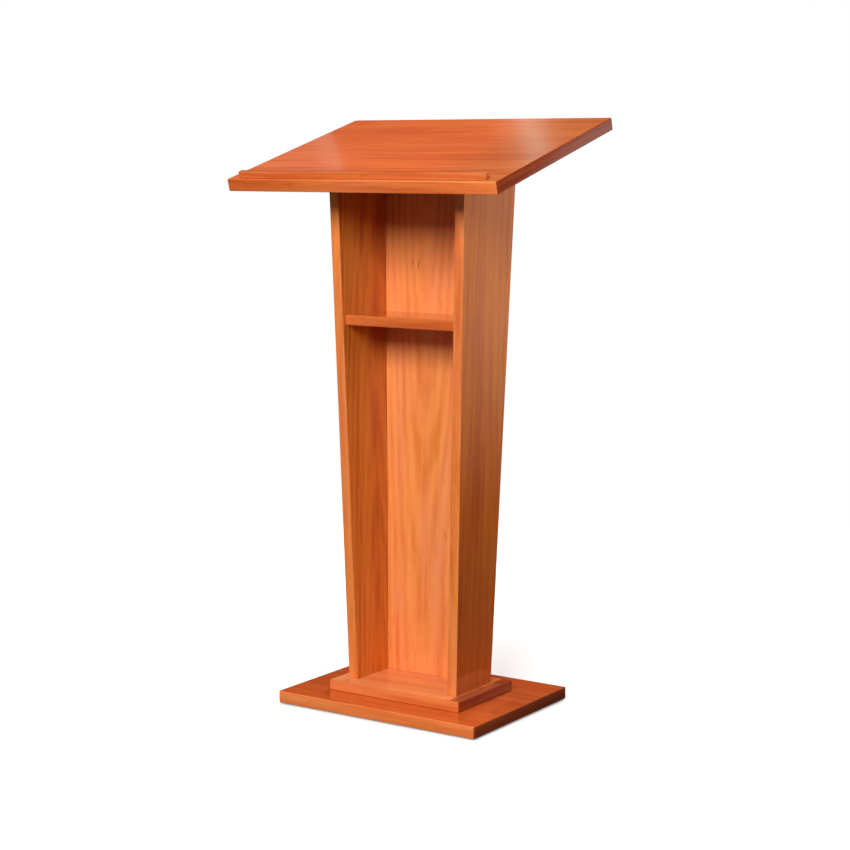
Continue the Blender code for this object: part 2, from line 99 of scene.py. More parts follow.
# ---------------------------------------------------------------- geometry
@dataclass(frozen=True)
class Plane:
    """A saw cut: what lies on the side of its normal is waste."""

    point: Vector
    normal: Vector

    def inset(self, depth: float) -> "Plane":
        """Return the parallel plane that lies deeper in the board."""
        return Plane(self.point - self.normal * depth, self.normal)

    def reversed(self) -> "Plane":
        """Return the same plane with its waste on the other side."""
        return Plane(self.point, -self.normal)

    def holds(self, place: Vector) -> bool:
        """Say whether a place lies on the plane."""
        return abs((place - self.point).dot(self.normal)) < TOUCH

    def meet(self, place: Sequence[float], axis: int) -> float:
        """Return how far from a place a line along an axis meets the plane."""
        return (self.point - Vector(place)).dot(self.normal) / self.normal[axis]


class Grain(Enum):
    """The way that the grain of a board runs; each value turns that way onto Z."""

    UPRIGHT = (0.0, 0.0, 0.0)
    ACROSS = (0.0, -math.pi / 2, 0.0)
    TOWARDS = (math.pi / 2, 0.0, 0.0)


class Side(Enum):
    """The speaker's left and right; each value is the sign of X there."""

    LEFT = -1
    RIGHT = 1

    @property
    def word(self) -> str:
        """Return the side's name as the frame's nodes spell it."""
        return self.name.lower()


def box_middle(node: str) -> Vector:
    """Return the middle of a node's box."""
    return sum(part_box(node), Vector()) / 2


def corner_seats(kind: str, axis: Callable[[Side], Vector] = lambda side: UP) -> dict[str, Vector]:
    """Name the nodes of a fastener at four corners, and the way that each points."""
    return {f"{kind}_{side.word}_{end}": axis(side) for side in Side for end in ("speaker", "audience")}


# ---------------------------------------------------------------- workbench
class Piece:
    """A piece on the workbench, shaped with edit-mode tools, one step after another."""

    def __init__(self, body: Object, name: str) -> None:
        """Put a name on an object and on its mesh."""
        self.body = body
        body.name = body.data.name = name

    @classmethod
    def start(cls, name: str, primitive: Callable, **settings: object) -> "Piece":
        """Start a piece from a primitive.

        Args:
            name: The piece's name.
            primitive: The operator that adds it.
            settings: What the operator is told.

        Returns:
            The piece.
        """
        bpy.ops.object.select_all(action="DESELECT")
        primitive(**settings)
        return cls(bpy.context.object, name)

    @classmethod
    def blank(cls, name: str, size: Sequence[float], centre: Sequence[float] = (0, 0, 0)) -> "Piece":
        """Cut a square blank of a size about a centre."""
        return cls.start(name, bpy.ops.mesh.primitive_cube_add, size=1).settle(scale=size, location=centre)

    @classmethod
    def turned(cls, name: str, profile: Profile, steps: int) -> "Piece":
        """Turn a profile about Z.

        Args:
            name: The piece's name.
            profile: Radius and height of each corner, from pole to pole.
            steps: Facets round the axis.

        Returns:
            The closed piece of revolution.
        """
        piece = cls.start(name, bpy.ops.mesh.primitive_plane_add, size=TOUCH)
        with piece.clamped("VERT"):
            bpy.ops.mesh.select_all(action="SELECT")
            bpy.ops.mesh.merge(type="CENTER")
            corner = Vector((profile[0][0], 0, profile[0][1]))
            bpy.ops.transform.translate(value=corner)
            for radius, height in profile[1:]:
                step = Vector((radius, 0, height)) - corner
                bpy.ops.mesh.extrude_vertices_move(TRANSFORM_OT_translate={"value": step})
                corner += step
            bpy.ops.mesh.select_all(action="SELECT")
            bpy.ops.mesh.spin(steps=steps, angle=FULL_TURN, center=(0, 0, 0), axis=(0, 0, 1))
            bpy.ops.mesh.select_all(action="SELECT")
            bpy.ops.mesh.remove_doubles(threshold=TOUCH)
            bpy.ops.mesh.normals_make_consistent(inside=False)
        return piece

    @classmethod
    def sawn(
            cls, name: str, cuts: Sequence[Plane], eased: Sequence[tuple[Plane, Plane, float]],
            steps: int = 4) -> "Piece":
        """Saw a board out of a large blank and ease its arrises.

        Args:
            name: The piece's name.
            cuts: The planes that bound it.
            eased: For each arris, the two planes that meet there and its radius.
            steps: Facets round an arris.

        Returns:
            The board.
        """
        middle = sum((cut.point for cut in cuts), Vector()) / len(cuts)
        board = cls.blank(name, LOG_SIZE, (0, 0, middle.z))
        with board.clamped():
            for cut in cuts:
                bpy.ops.mesh.select_all(action="SELECT")
                bpy.ops.mesh.bisect(plane_co=cut.point, plane_no=cut.normal, use_fill=True, clear_outer=True,
                                    threshold=TOUCH / 10)
        for first, second, radius in eased:
            board.ease(lambda edge: all(first.holds(end.co) and second.holds(end.co) for end in edge.verts),
                       radius, steps)
        return board

    def copy(self, name: str) -> "Piece":
        """Copy the piece, with a mesh of its own.

        Args:
            name: The copy's name.

        Returns:
            The copy.
        """
        twin = self.body.copy()
        twin.data = self.body.data.copy()
        bpy.context.scene.collection.objects.link(twin)
        return Piece(twin, name)

    def discard(self) -> None:
        """Throw the piece away."""
        bpy.data.objects.remove(self.body, do_unlink=True)

    def take(self) -> None:
        """Make the piece the only one selected, and the active one."""
        bpy.ops.object.select_all(action="DESELECT")
        self.body.select_set(True)
        bpy.context.view_layer.objects.active = self.body

    @contextmanager
    def clamped(self, kind: str = "EDGE") -> Iterator[None]:
        """Hold the piece in edit mode, with nothing of it selected.

        Args:
            kind: What is picked on it, VERT, EDGE or FACE.

        Yields:
            Nothing, while the piece is held.
        """
        self.take()
        bpy.ops.object.mode_set(mode="EDIT")
        bpy.ops.mesh.select_mode(type=kind)
        bpy.ops.mesh.select_all(action="DESELECT")
        yield
        bpy.ops.object.mode_set(mode="OBJECT")

    def pick(self, wanted: Callable, kind: str = "edges") -> None:
        """Select what passes a test on the piece while it is held.

        Args:
            wanted: The test.
            kind: What it tests, edges or faces.
        """
        bpy.ops.mesh.select_all(action="DESELECT")
        held = bmesh.from_edit_mesh(self.body.data)
        held.normal_update()
        for item in filter(wanted, getattr(held, kind)):
            item.select_set(True)
        bmesh.update_edit_mesh(self.body.data)

    def settle(self, **place: object) -> "Piece":
        """Set the piece's place, turn or scale and put it into its mesh.

        Args:
            place: The object's properties to set.

        Returns:
            The same piece.
        """
        for name, value in place.items():
            setattr(self.body, name, value)
        self.take()
        bpy.ops.object.transform_apply(location=True, rotation=True, scale=True)
        return self

    def place(self, start: Vector, axis: Vector) -> "Piece":
        """Carry a piece made along Z to its seat, with its Z along an axis."""
        turn = Vector(axis).to_track_quat("Z", "Y")
        return self.settle(rotation_mode="QUATERNION", rotation_quaternion=turn, location=start)

    def ease(self, wanted: Callable, radius: float, steps: int = 4, worn: bool = True) -> None:
        """Round the edges that pass a test.

        Args:
            wanted: Test of an edge.
            radius: Radius of the arris.
            steps: Facets round it.
            worn: Whether the new faces are marked as an arris, where the stain wears pale.
        """
        with self.clamped():
            self.pick(wanted)
            bpy.ops.mesh.bevel(offset=radius, offset_type="OFFSET", segments=steps, affect="EDGES")
            if worn:
                held = bmesh.from_edit_mesh(self.body.data)
                arris = held.faces.layers.float.get("arris") or held.faces.layers.float.new("arris")
                for face in held.faces:
                    if face.select:
                        face[arris] = 1.0
                bmesh.update_edit_mesh(self.body.data)

    def bore(self, cutters: Sequence["Piece"]) -> None:
        """Cut holes and recesses in the piece, and throw the cutters away.

        Args:
            cutters: The pieces to cut with.
        """
        self.take()
        for cutter in cutters:
            hole = self.body.modifiers.new("bore", "BOOLEAN")
            hole.operation, hole.solver, hole.object = "DIFFERENCE", "EXACT", cutter.body
            bpy.ops.object.modifier_apply(modifier=hole.name)
            cutter.discard()

    def present(
            self, slot: str, node: str, finishes: Sequence[Material], which: Callable | None = None) -> None:
        """Shade and dress the piece, and let it stand for the node of the frame that it shows.

        Args:
            slot: The record's material slot; not used.
            node: The node that it replaces.
            finishes: Its materials.
            which: Gives the number of the finish that a face takes, or None for the first all over.
        """
        self.take()
        bpy.ops.object.shade_smooth_by_angle(angle=SHARP, keep_sharp_edges=False)
        piece = self.body
        for finish in finishes:
            piece.data.materials.append(finish)
        for face in piece.data.polygons if which else ():
            face.material_index = which(face)
        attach(piece, BODY)
        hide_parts(node)
        LOG.info("%s: %d faces, for %s", piece.name, len(piece.data.polygons), node)

    def stage(self, paint: Material, mirrored_only: bool) -> None:
        """Make the piece part of the studio.

        Args:
            paint: Its material.
            mirrored_only: Whether nothing but gloss shows it.
        """
        self.body.data.materials.append(paint)
        for ray in ("camera", "diffuse", "transmission", "volume_scatter", "shadow") if mirrored_only else ():
            setattr(self.body, f"visible_{ray}", False)


# ---------------------------------------------------------------- finishes
class Sheet:
    """The node sheet of a material or of the world, with short ways to add its nodes."""

    def __init__(self, owner: Material | World) -> None:
        """Clear the owner's sheet and keep its output.

        Args:
            owner: The material or the world.
        """
        owner.use_nodes = True
        self.owner, self.tree = owner, owner.node_tree
        self.tree.nodes.clear()
        kind = "World" if isinstance(owner, World) else "Material"
        self.surface = self.tree.nodes.new(f"ShaderNodeOutput{kind}").inputs["Surface"]

    def feed(self, socket: NodeSocket, value: object) -> None:
        """Link a socket to an output, or set it to a constant.

        Args:
            socket: The input.
            value: The output or the constant, where a colour has no alpha.
        """
        if isinstance(value, NodeSocket):
            self.tree.links.new(value, socket)
        else:
            socket.default_value = (*value, 1) if socket.type == "RGBA" else value

    def add(
            self, kind: str, values: Sequence | dict = (), out: int | str = 0,
            **settings: object) -> NodeSocket:
        """Add a node.

        Args:
            kind: Its kind, without ShaderNode.
            values: Its inputs, in their order or by name, each an output or a constant.
            out: The output that is wanted.
            settings: Its properties.

        Returns:
            That output.
        """
        node = self.tree.nodes.new(f"ShaderNode{kind}")
        for name, value in settings.items():
            setattr(node, name, value)
        for name, value in values.items() if isinstance(values, dict) else enumerate(values):
            self.feed(node.inputs[name], value)
        return node.outputs[out]

    @cached_property
    def objects(self) -> NodeSocket:
        """Return the object's own coordinates."""
        return self.add("TexCoord", out="Object")

    def mapped(self, vector: NodeSocket, **places: Sequence[float]) -> NodeSocket:
        """Change a vector by a Scale, a Rotation and a Location, in that order."""
        return self.add("Mapping", {"Vector": vector, **places})

    def noise(
            self, vector: NodeSocket, scale: Sequence[float], detail: float = 2.0, roughness: float = 0.5,
            out: str = "Fac") -> NodeSocket:
        """Add noise.

        Args:
            vector: Where it is asked for.
            scale: How fine it is along each axis.
            detail: Its octaves.
            roughness: How much of each octave the next one keeps.
            out: Fac for a value or Color for a colour.

        Returns:
            The noise.
        """
        place = self.mapped(vector, Scale=scale)
        return self.add(
            "TexNoise", {"Vector": place, "Scale": 1.0, "Detail": detail, "Roughness": roughness}, out)

    def maths(self, operation: str, *values: object) -> NodeSocket:
        """Add a Math node."""
        return self.add("Math", values, operation=operation)

    def vectors(self, operation: str, *values: object) -> NodeSocket:
        """Add a Vector Math node."""
        out = "Value" if operation == "LENGTH" else "Vector"
        return self.add("VectorMath", values, out, operation=operation)

    def remap(self, value: NodeSocket, low: float, high: float, *to: float) -> NodeSocket:
        """Carry one range of a value to another, or to 0 and 1, clamped and smooth at both ends."""
        return self.add("MapRange", (value, low, high, *to), interpolation_type="SMOOTHSTEP")

    def ramp(self, value: NodeSocket, *stops: tuple[float, Triple]) -> NodeSocket:
        """Carry a value to a colour.

        Args:
            value: The value.
            stops: The place and the colour of each stop.

        Returns:
            The colour.
        """
        colour = self.add("ValToRGB", [value])
        elements = colour.node.color_ramp.elements
        while len(elements) < len(stops):
            elements.new(0.5)
        for element, (place, tone) in zip(elements, stops):
            element.position, element.color = place, (*tone, 1)
        return colour

    def tones(self, value: NodeSocket, swatches: Sequence[tuple[float, Sequence[int]]]) -> NodeSocket:
        """Carry a value to swatches, each with its place."""
        return self.ramp(value, *((place, linear(swatch)) for place, swatch in swatches))

    def blend(self, share: object, first: object, second: object, how: str = "MIX") -> NodeSocket:
        """Blend two colours by a share, each an output or a constant."""
        return self.add("Mix", {0: share, 6: first, 7: second}, 2, data_type="RGBA", blend_type=how)

    def bump(self, height: NodeSocket, depth: float) -> NodeSocket:
        """Turn a height into a normal."""
        return self.add("Bump", {"Strength": 1.0, "Distance": depth, "Height": height})

    def glow(self, level: float | NodeSocket, tint: Triple = WHITE) -> NodeSocket:
        """Add an emission of a level and a tint."""
        return self.add("Emission", (tint, level))

    def matt(self, tone: float) -> NodeSocket:
        """Add a matt grey of a tone."""
        return self.add("BsdfDiffuse", [(tone, tone, tone)])

    def seen(self) -> NodeSocket:
        """Tell the rays that show the background, in sight, in a mirror or through glass."""
        rays = [self.add("LightPath", out=f"Is {ray} Ray") for ray in ("Camera", "Glossy", "Transmission")]
        return self.maths("MAXIMUM", self.maths("MAXIMUM", *rays[:2]), rays[2])

    def closed(self, shader: NodeSocket) -> Material | World:
        """Put a shader on the surface and return the owner."""
        self.feed(self.surface, shader)
        return self.owner

    def principled(self, **values: object) -> Material:
        """Close the sheet with a Principled shader, whose sockets are named with _ for a space."""
        inputs = {name.replace("_", " "): value for name, value in values.items()}
        return self.closed(self.add("BsdfPrincipled", inputs))


class Stain(Enum):
    """The four tones of a stained veneer, from its darkest lines to its palest, as swatches."""

    INSIDE = ((186, 86, 20), (208, 109, 30), (224, 130, 43), (236, 147, 59))
    OUTSIDE = ((182, 74, 16), (204, 92, 23), (221, 110, 32), (234, 128, 49))
    # paler and yellower than the other faces, as a brightly lit face looks: painted light
    FRONT = ((214, 108, 48), (234, 132, 67), (248, 150, 84), (255, 164, 98))
    AUDIENCE = ((208, 90, 30), (231, 112, 43), (246, 130, 57), (255, 145, 70))
    DESK = ((192, 66, 26), (218, 87, 39), (238, 108, 52), (250, 128, 70))
    # very dark: painted shade under the desk
    UNDER_DESK = ((106, 27, 4), (128, 37, 6), (148, 48, 10), (160, 62, 18))
    # darker and redder than the other boards: painted shade from the desk over the base top
    BASE = ((162, 47, 9), (189, 66, 16), (209, 86, 25), (226, 107, 40))
    PLINTH = ((212, 106, 54), (233, 129, 71), (247, 147, 87), (255, 162, 102))
    # paler than the plinth's edge: painted light, standing in for light bounced off the floor
    BASE_EDGE = ((215, 98, 37), (238, 121, 54), (252, 139, 70), (255, 155, 85))
    PLINTH_EDGE = ((200, 90, 34), (222, 112, 50), (238, 131, 65), (249, 147, 80))
    AUDIENCE_EDGE = ((184, 72, 22), (204, 89, 32), (218, 105, 41), (232, 120, 54))
    # paler and yellower, as a brightly lit face looks: painted light
    POST = ((204, 92, 38), (226, 117, 53), (240, 135, 69), (250, 150, 85))
    RIM = ((184, 78, 28), (208, 97, 41), (225, 115, 54), (238, 133, 70))
    DESK_END = ((122, 42, 12), (145, 55, 18), (166, 69, 26), (186, 87, 38))
    FOOT_END = ((118, 40, 12), (141, 53, 17), (161, 65, 24), (180, 82, 35))


STAIN_PLACES = (0.22, 0.43, 0.56, 0.76)     # where a stain's four tones lie on the figure
MEAN_TONE = 0.56                            # the figure's mean
HUES = ((0.36, (1.0, 1.0, 0.80)), (0.64, (0.965, 0.915, 1.0)))      # the slow change of hue along a veneer
KNOT_RING, KNOT_HEART = (196, 78, 30), (96, 32, 12)
PORE_DEPTH, RIPPLE_DEPTH = 0.00006, 0.00003
SWAY = (0.030, 0.030, 0.0)                  # how far the grain wanders, never along itself
SPREAD = (0.3, 0.7)                         # where most of a noise's values lie
WAVE_PERIOD = FULL_TURN / 20                # of a wave texture at scale 1


class Figure(Enum):
    """What shows in cherry: the noise's scale along X, Y and Z, its detail and its roughness."""

    WANDER = ((6, 6, 1.7), 2.0, 0.5)
    BROAD = ((32, 32, 1.3), 2.0, 0.5)
    STREAKS = ((105, 105, 2.2), 3.0, 0.66)
    CLOUDS = ((13, 13, 3.4), 2.0, 0.6)
    FIBRES = ((620, 620, 9), 3.0, 0.6)
    DASHES = ((240, 240, 15), 2.0, 0.5)
    PORES = ((1500, 1500, 70), 1.0, 0.5)
    TINT = ((21, 21, 2.4), 1.0, 0.5)
    RIPPLE = ((140, 140, 140), 1.0, 0.5)


@dataclass(frozen=True)
class PinKnot:
    """A small dark knot in one face, with a redder ring round it."""

    place: Vector
    reach: Vector                       # half sizes along X, Y and Z
    strength: float

    def over(self, sheet: Sheet, colour: NodeSocket) -> NodeSocket:
        """Draw the knot over a colour.

        Args:
            sheet: The sheet to draw on.
            colour: What lies under the knot.

        Returns:
            The colour with the knot.
        """
        away = sheet.vectors("SUBTRACT", sheet.objects, self.place)
        share = sheet.vectors("LENGTH", sheet.vectors("DIVIDE", away, self.reach))
        for near, far, strength, swatch in (
                (1.0, 3.5, 0.30, KNOT_RING), (0.5, 1.3, self.strength, KNOT_HEART)):
            colour = sheet.blend(sheet.remap(share, near, far, strength, 0.0), colour, linear(swatch))
        return colour


@dataclass(frozen=True)
class Leaf:
    """A tint multiplied into the stain beyond a line along an axis, from a start to its full strength:
    painted shade and painted light on some boards, a plain shift of tone on others.
    """

    axis: str
    start: float
    full: float
    tint: Triple

    def over(self, sheet: Sheet, colour: NodeSocket) -> NodeSocket:
        """Multiply the tint into a colour beyond the line."""
        along = sheet.add("SeparateXYZ", [sheet.objects], self.axis)
        return sheet.blend(sheet.remap(along, self.start, self.full), colour, self.tint, "MULTIPLY")


@dataclass(frozen=True)
class CherryVeneer:
    """Stained cherry veneer under satin lacquer."""

    name: str
    grain: Grain
    stain: Stain
    shift: Triple                       # which part of the log the board shows
    tip: float = 0.0                    # tilt of the board about X
    rings: float = 0.14                 # how strongly its growth rings show
    clouds: float = 0.34                # how cloudy the stain is
    contrast: float = 1.0               # how strongly its streaks show
    pith: Triple = (0.10, 0.02, 0.5)    # a point of the log's heart, with the grain along Z
    pith_lean: Triple = (0.02, -0.03, 0.0)
    ring_spacing: float = 0.014
    marks: tuple[PinKnot, ...] = ()
    # tints beyond a line: painted shade on the plinth, painted light and shade on the right side panel, a
    # shift of tone on the desk and its band
    leaves: tuple[Leaf, ...] = ()
    wear: float = 0.35                  # how pale its arrises are worn
    roughness: float = 0.42
    body_gloss: float = 0.20
    coat: float = 1.0
    coat_roughness: float = 0.08

    def board_space(self, sheet: Sheet) -> NodeSocket:
        """Turn the object's space so that the grain runs along Z, and let it wander a little.

        Args:
            sheet: The sheet to draw on.

        Returns:
            The place in that space.
        """
        level = sheet.mapped(sheet.objects, Rotation=(-self.tip, 0, 0))
        board = sheet.mapped(level, Rotation=self.grain.value)
        wander = sheet.noise(sheet.vectors("ADD", board, self.shift), *Figure.WANDER.value, out="Color")
        centred = sheet.vectors("SUBTRACT", wander, (0.5, 0.5, 0.5))
        return sheet.vectors("MULTIPLY_ADD", centred, SWAY, board)

    def growth(self, sheet: Sheet, board: NodeSocket) -> NodeSocket:
        """Slice the log's growth rings at a slant, which draws long arches on a face.

        Args:
            sheet: The sheet to draw on.
            board: The place in the board's space.

        Returns:
            The rings, as a wave.
        """
        centred = sheet.mapped(sheet.vectors("SUBTRACT", board, self.pith), Rotation=self.pith_lean)
        return sheet.add("TexWave", {
            "Vector": centred, "Scale": WAVE_PERIOD / self.ring_spacing, "Distortion": 1.6, "Detail": 2.0,
            "Detail Scale": 1.2, "Detail Roughness": 0.6}, "Fac",
            wave_type="RINGS", rings_direction="Z", wave_profile="SIN")

    def material(self) -> Material:
        """Build the finish.

        Returns:
            The material.
        """
        sheet = Sheet(bpy.data.materials.new(self.name))
        board = self.board_space(sheet)
        log = sheet.vectors("ADD", board, self.shift)
        show = {figure: sheet.noise(log, *figure.value) for figure in Figure
                if figure not in (Figure.WANDER, Figure.RIPPLE)}
        tone = sheet.maths("MULTIPLY_ADD", self.growth(sheet, board), self.rings, MEAN_TONE - self.rings / 2)
        for figure, weight in (
                (Figure.BROAD, 0.50 * self.contrast), (Figure.STREAKS, 0.60 * self.contrast),
                (Figure.CLOUDS, self.clouds), (Figure.FIBRES, 0.16)):
            tone = sheet.maths("MULTIPLY_ADD", sheet.maths("SUBTRACT", show[figure], 0.5), weight, tone)
        line, *_, pale = map(linear, self.stain.value)
        colour = sheet.tones(tone, tuple(zip(STAIN_PLACES, self.stain.value)))
        colour = sheet.blend(1.0, colour, sheet.ramp(show[Figure.TINT], *HUES), "MULTIPLY")
        dashes = sheet.remap(show[Figure.DASHES], 0.57, 0.74)
        pores = sheet.remap(show[Figure.PORES], 0.60, 0.72)
        for lines, share in ((dashes, 0.30), (pores, 0.20)):
            colour = sheet.blend(sheet.maths("MULTIPLY", lines, share), colour, line)
        for knot in self.marks:
            colour = knot.over(sheet, colour)
        arris = sheet.add("Attribute", out="Fac", attribute_type="GEOMETRY", attribute_name="arris")
        colour = sheet.blend(sheet.maths("MULTIPLY", arris, self.wear), colour, pale)
        # painted shade and light, and shifts of tone, multiplied in last
        for tone_band in self.leaves:
            colour = tone_band.over(sheet, colour)
        fibres = show[Figure.FIBRES]
        surface = sheet.maths("MULTIPLY_ADD", pores, -0.6, sheet.maths("MULTIPLY", fibres, 0.5))
        ripple = sheet.noise(sheet.objects, *Figure.RIPPLE.value)
        rough = sheet.remap(fibres, *SPREAD, self.roughness - 0.04, self.roughness + 0.05)
        return sheet.principled(
            Base_Color=colour, Roughness=rough, Specular_IOR_Level=self.body_gloss, IOR=1.5, Coat_IOR=1.5,
            Normal=sheet.bump(surface, PORE_DEPTH), Coat_Normal=sheet.bump(ripple, RIPPLE_DEPTH),
            Coat_Weight=self.coat, Coat_Roughness=self.coat_roughness)


@dataclass(frozen=True)
class Beech:
    """Plain beech, as cleats and dowels are cut from."""

    name: str
    grain: Grain
    shift: Triple = (0.3, 0.1, 0.7)
    tones: tuple = ((0.25, (176, 128, 84)), (0.50, (203, 158, 111)), (0.78, (220, 181, 136)))
    fleck: tuple[int, int, int] = (150, 98, 58)

    def material(self) -> Material:
        """Build the finish.

        Returns:
            The material.
        """
        sheet = Sheet(bpy.data.materials.new(self.name))
        board = sheet.mapped(sheet.objects, Rotation=self.grain.value, Location=self.shift)
        streaks = sheet.noise(board, (110, 110, 6), 3.0)
        flecks = sheet.remap(sheet.noise(board, (420, 420, 130), 1.0), 0.60, 0.70)
        colour = sheet.blend(
            sheet.maths("MULTIPLY", flecks, 0.4), sheet.tones(streaks, self.tones), linear(self.fleck))
        return sheet.principled(
            Base_Color=colour, Roughness=sheet.remap(streaks, *SPREAD, 0.52, 0.66),
            Normal=sheet.bump(streaks, 0.0001))


@dataclass(frozen=True)
class Clouded:
    """Plain metal or plastic, a little cloudy: the screws' zinc plate and the glides' nylon."""

    name: str
    cloud: tuple[Triple, float]         # scale and detail of the clouds
    grit: tuple[Triple, float]          # and of the bumps
    bump: float
    tones: tuple[tuple[float, Triple], ...]     # place on the clouds, and swatch
    rough: tuple[float, float, float, float]    # range of the clouds, and the roughness there
    metallic: float = 0.0

    def material(self) -> Material:
        """Build the finish.

        Returns:
            The material.
        """
        sheet = Sheet(bpy.data.materials.new(self.name))
        cloud, grit = (sheet.noise(sheet.objects, *figure) for figure in (self.cloud, self.grit))
        return sheet.principled(
            Base_Color=sheet.tones(cloud, self.tones), Metallic=self.metallic,
            Roughness=sheet.remap(cloud, *self.rough), Normal=sheet.bump(grit, self.bump))


ZINC_PLATE = Clouded(
    "zinc_plate", ((300, 300, 300), 2.0), ((300, 300, 300), 2.0), 0.00003,
    ((0.3, (186, 168, 120)), (0.7, (214, 203, 170))), (0.3, 0.7, 0.26, 0.42), metallic=1.0)
BLACK_NYLON = Clouded(
    "black_nylon_glide", ((260, 90, 260), 3.0), ((2400, 2400, 2400), 1.0), 0.00004,
    ((0.45, (24, 24, 25)), (0.75, (52, 51, 50))), (0.4, 0.7, 0.46, 0.62))


# ---------------------------------------------------------------- fasteners
@dataclass(frozen=True)
class Fastener:
    """A kind of turned fastener: the node of each copy, and the way that it points."""

    seats: dict[str, Vector]
    slot: ClassVar[str]                 # the record's material slot

    def profile(self) -> Profile:
        """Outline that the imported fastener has."""
        raise NotImplementedError

    def hole(self) -> Profile:
        """Outline of its hole, a little larger."""
        raise NotImplementedError

    def master(self) -> Piece:
        """Make it along Z."""
        raise NotImplementedError

    def start(self, node: str) -> Vector:
        """Find where the profile's zero lies, from the box of the node on a seat.

        Args:
            node: The node.

        Returns:
            The point on the axis at distance zero.
        """
        offset = []
        for along in self.seats[node]:
            across = math.sqrt(max(0.0, 1 - along * along))
            far = max(distance * along + radius * across for radius, distance in self.profile())
            near = min(distance * along - radius * across for radius, distance in self.profile())
            offset.append((far + near) / 2)
        return box_middle(node) - Vector(offset)

    def cutters(self, word: str = "") -> list[Piece]:
        """Make the cutters for the seats whose nodes have a word in their names."""
        return [Piece.turned(f"{node}_hole", self.hole(), HOLE_STEPS).place(self.start(node), axis)
                for node, axis in self.seats.items() if word in node]

    def show(self, finish: Material) -> None:
        """Copy a master to every seat, and throw it away.

        Args:
            finish: Its material.
        """
        master = self.master()
        for node, axis in self.seats.items():
            master.copy(f"{node}_shown").place(self.start(node), axis).present(self.slot, node, [finish])
        master.discard()


@dataclass(frozen=True)
class Screw(Fastener):
    """Countersunk chipboard screws of one length, with a crossed recess and a thread."""

    slot: ClassVar[str] = "zinc_screw"
    length: float                       # from the head's face to the point
    core_radius: float = 0.0013
    thread_radius: float = 0.0020
    neck_radius: float = 0.00176
    head_radius: float = 0.0040
    rim: float = 0.0003                 # edge of the head
    point_length: float = 0.004
    plain_length: float = 0.008         # unthreaded, below the head
    pitch: float = 0.0024
    rings_per_turn: int = 8
    ridge_half_width: float = 0.28      # of the thread, as a share of its pitch
    runout: float = 0.35                # share of its height that the thread keeps at its end
    flat: float = 0.62                  # of the head, as a share of its radius
    tapers: Profile = ((0.7, 0.4), (0.35, 0.75))    # the point's corners, as shares of the core and the point
    steps: int = 24
    wing: tuple[float, float] = (1.15, 0.24)        # of the recess, over the head's radius, at its rim
    wing_foot: Triple = (0.35, 0.7, 1)              # share of it left at its foot
    recess_depth: float = 0.0019
    proud: float = 0.0005               # how far the recess's cutter stands over the head

    def profile(self) -> Profile:
        """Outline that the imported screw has."""
        head, shank, last = self.head_radius, self.thread_radius, self.length - self.point_length
        return [(0, 0), (head, 0), (shank, head - shank), (shank, last), (0, self.length)]

    def hole(self) -> Profile:
        """Outline of the countersunk hole, open a little past both ends.

        Returns:
            The profile.
        """
        head, shank = self.head_radius + CLEARANCE, self.thread_radius + CLEARANCE
        tip = self.length + OVERRUN
        return [(0, -OVERRUN), (head, -OVERRUN), (head, 0), (shank, head - shank),
                (shank, tip - self.point_length), (0, tip)]

    def thread(self) -> tuple[float, float]:
        """Return where the thread starts and ends, from the head's face."""
        return self.head_radius - self.neck_radius + self.plain_length, self.length - self.point_length

    def turned_profile(self) -> Profile:
        """Outline to turn: a rimmed head, a plain neck, a core in fine rings and a point.

        Returns:
            The profile.
        """
        head, neck, core, rim = self.head_radius, self.neck_radius, self.core_radius, self.rim
        first, last = self.thread()
        rings = round((last - first) / self.pitch * self.rings_per_turn)
        return [
            (0, 0), (head * self.flat, 0), (head - rim / 2, 0), (head, rim / 2), (head, rim),
            (neck, head - neck + rim), (neck, first - core),
            *((core, first + (last - first) * ring / rings) for ring in range(rings + 1)),
            *((core * wide, last + self.point_length * down) for wide, down in self.tapers), (0, self.length)]

    def master(self) -> Piece:
        """Turn the screw, raise its thread and sink its recess.

        Returns:
            The screw, made along Z.
        """
        screw = Piece.turned("screw_master", self.turned_profile(), self.steps)
        self.raise_thread(screw)
        screw.bore([self.blade(0.0), self.blade(math.pi / 2)])
        return screw

    def raise_thread(self, screw: Piece) -> None:
        """Push the core out to a helical ridge, which fades at both ends.

        Args:
            screw: The turned screw.
        """
        start, end = self.thread()
        for vertex in screw.body.data.vertices:
            x, y, z = vertex.co
            radius = math.hypot(x, y)
            if not (start - TOUCH <= z <= end + TOUCH and radius > self.core_radius / 2):
                continue
            phase = (z / self.pitch - math.atan2(y, x) / FULL_TURN) % 1.0
            ridge = max(0.0, 1 - abs(phase - 0.5) / self.ridge_half_width)
            fade = min(1.0, (z - start) / self.pitch, (end - z) / self.pitch + self.runout)
            grown = self.core_radius + (self.thread_radius - self.core_radius) * ridge * max(0.0, fade)
            vertex.co.xy *= grown / radius

    def blade(self, turn: float) -> Piece:
        """Make one wing of the crossed recess, as a tapering cutter.

        Args:
            turn: Its turn about the axis.

        Returns:
            The cutter, standing a little proud of the head.
        """
        length, width = (self.head_radius * share for share in self.wing)
        wing = Piece.blank("wing", (length, width, self.recess_depth + self.proud),
                           (0, 0, (self.recess_depth - self.proud) / 2))
        with wing.clamped("FACE"):
            wing.pick(lambda face: face.normal.z > FACING, "faces")
            bpy.ops.transform.resize(value=self.wing_foot, center_override=(0, 0, self.recess_depth))
        return wing.settle(rotation_euler=(0, 0, turn))


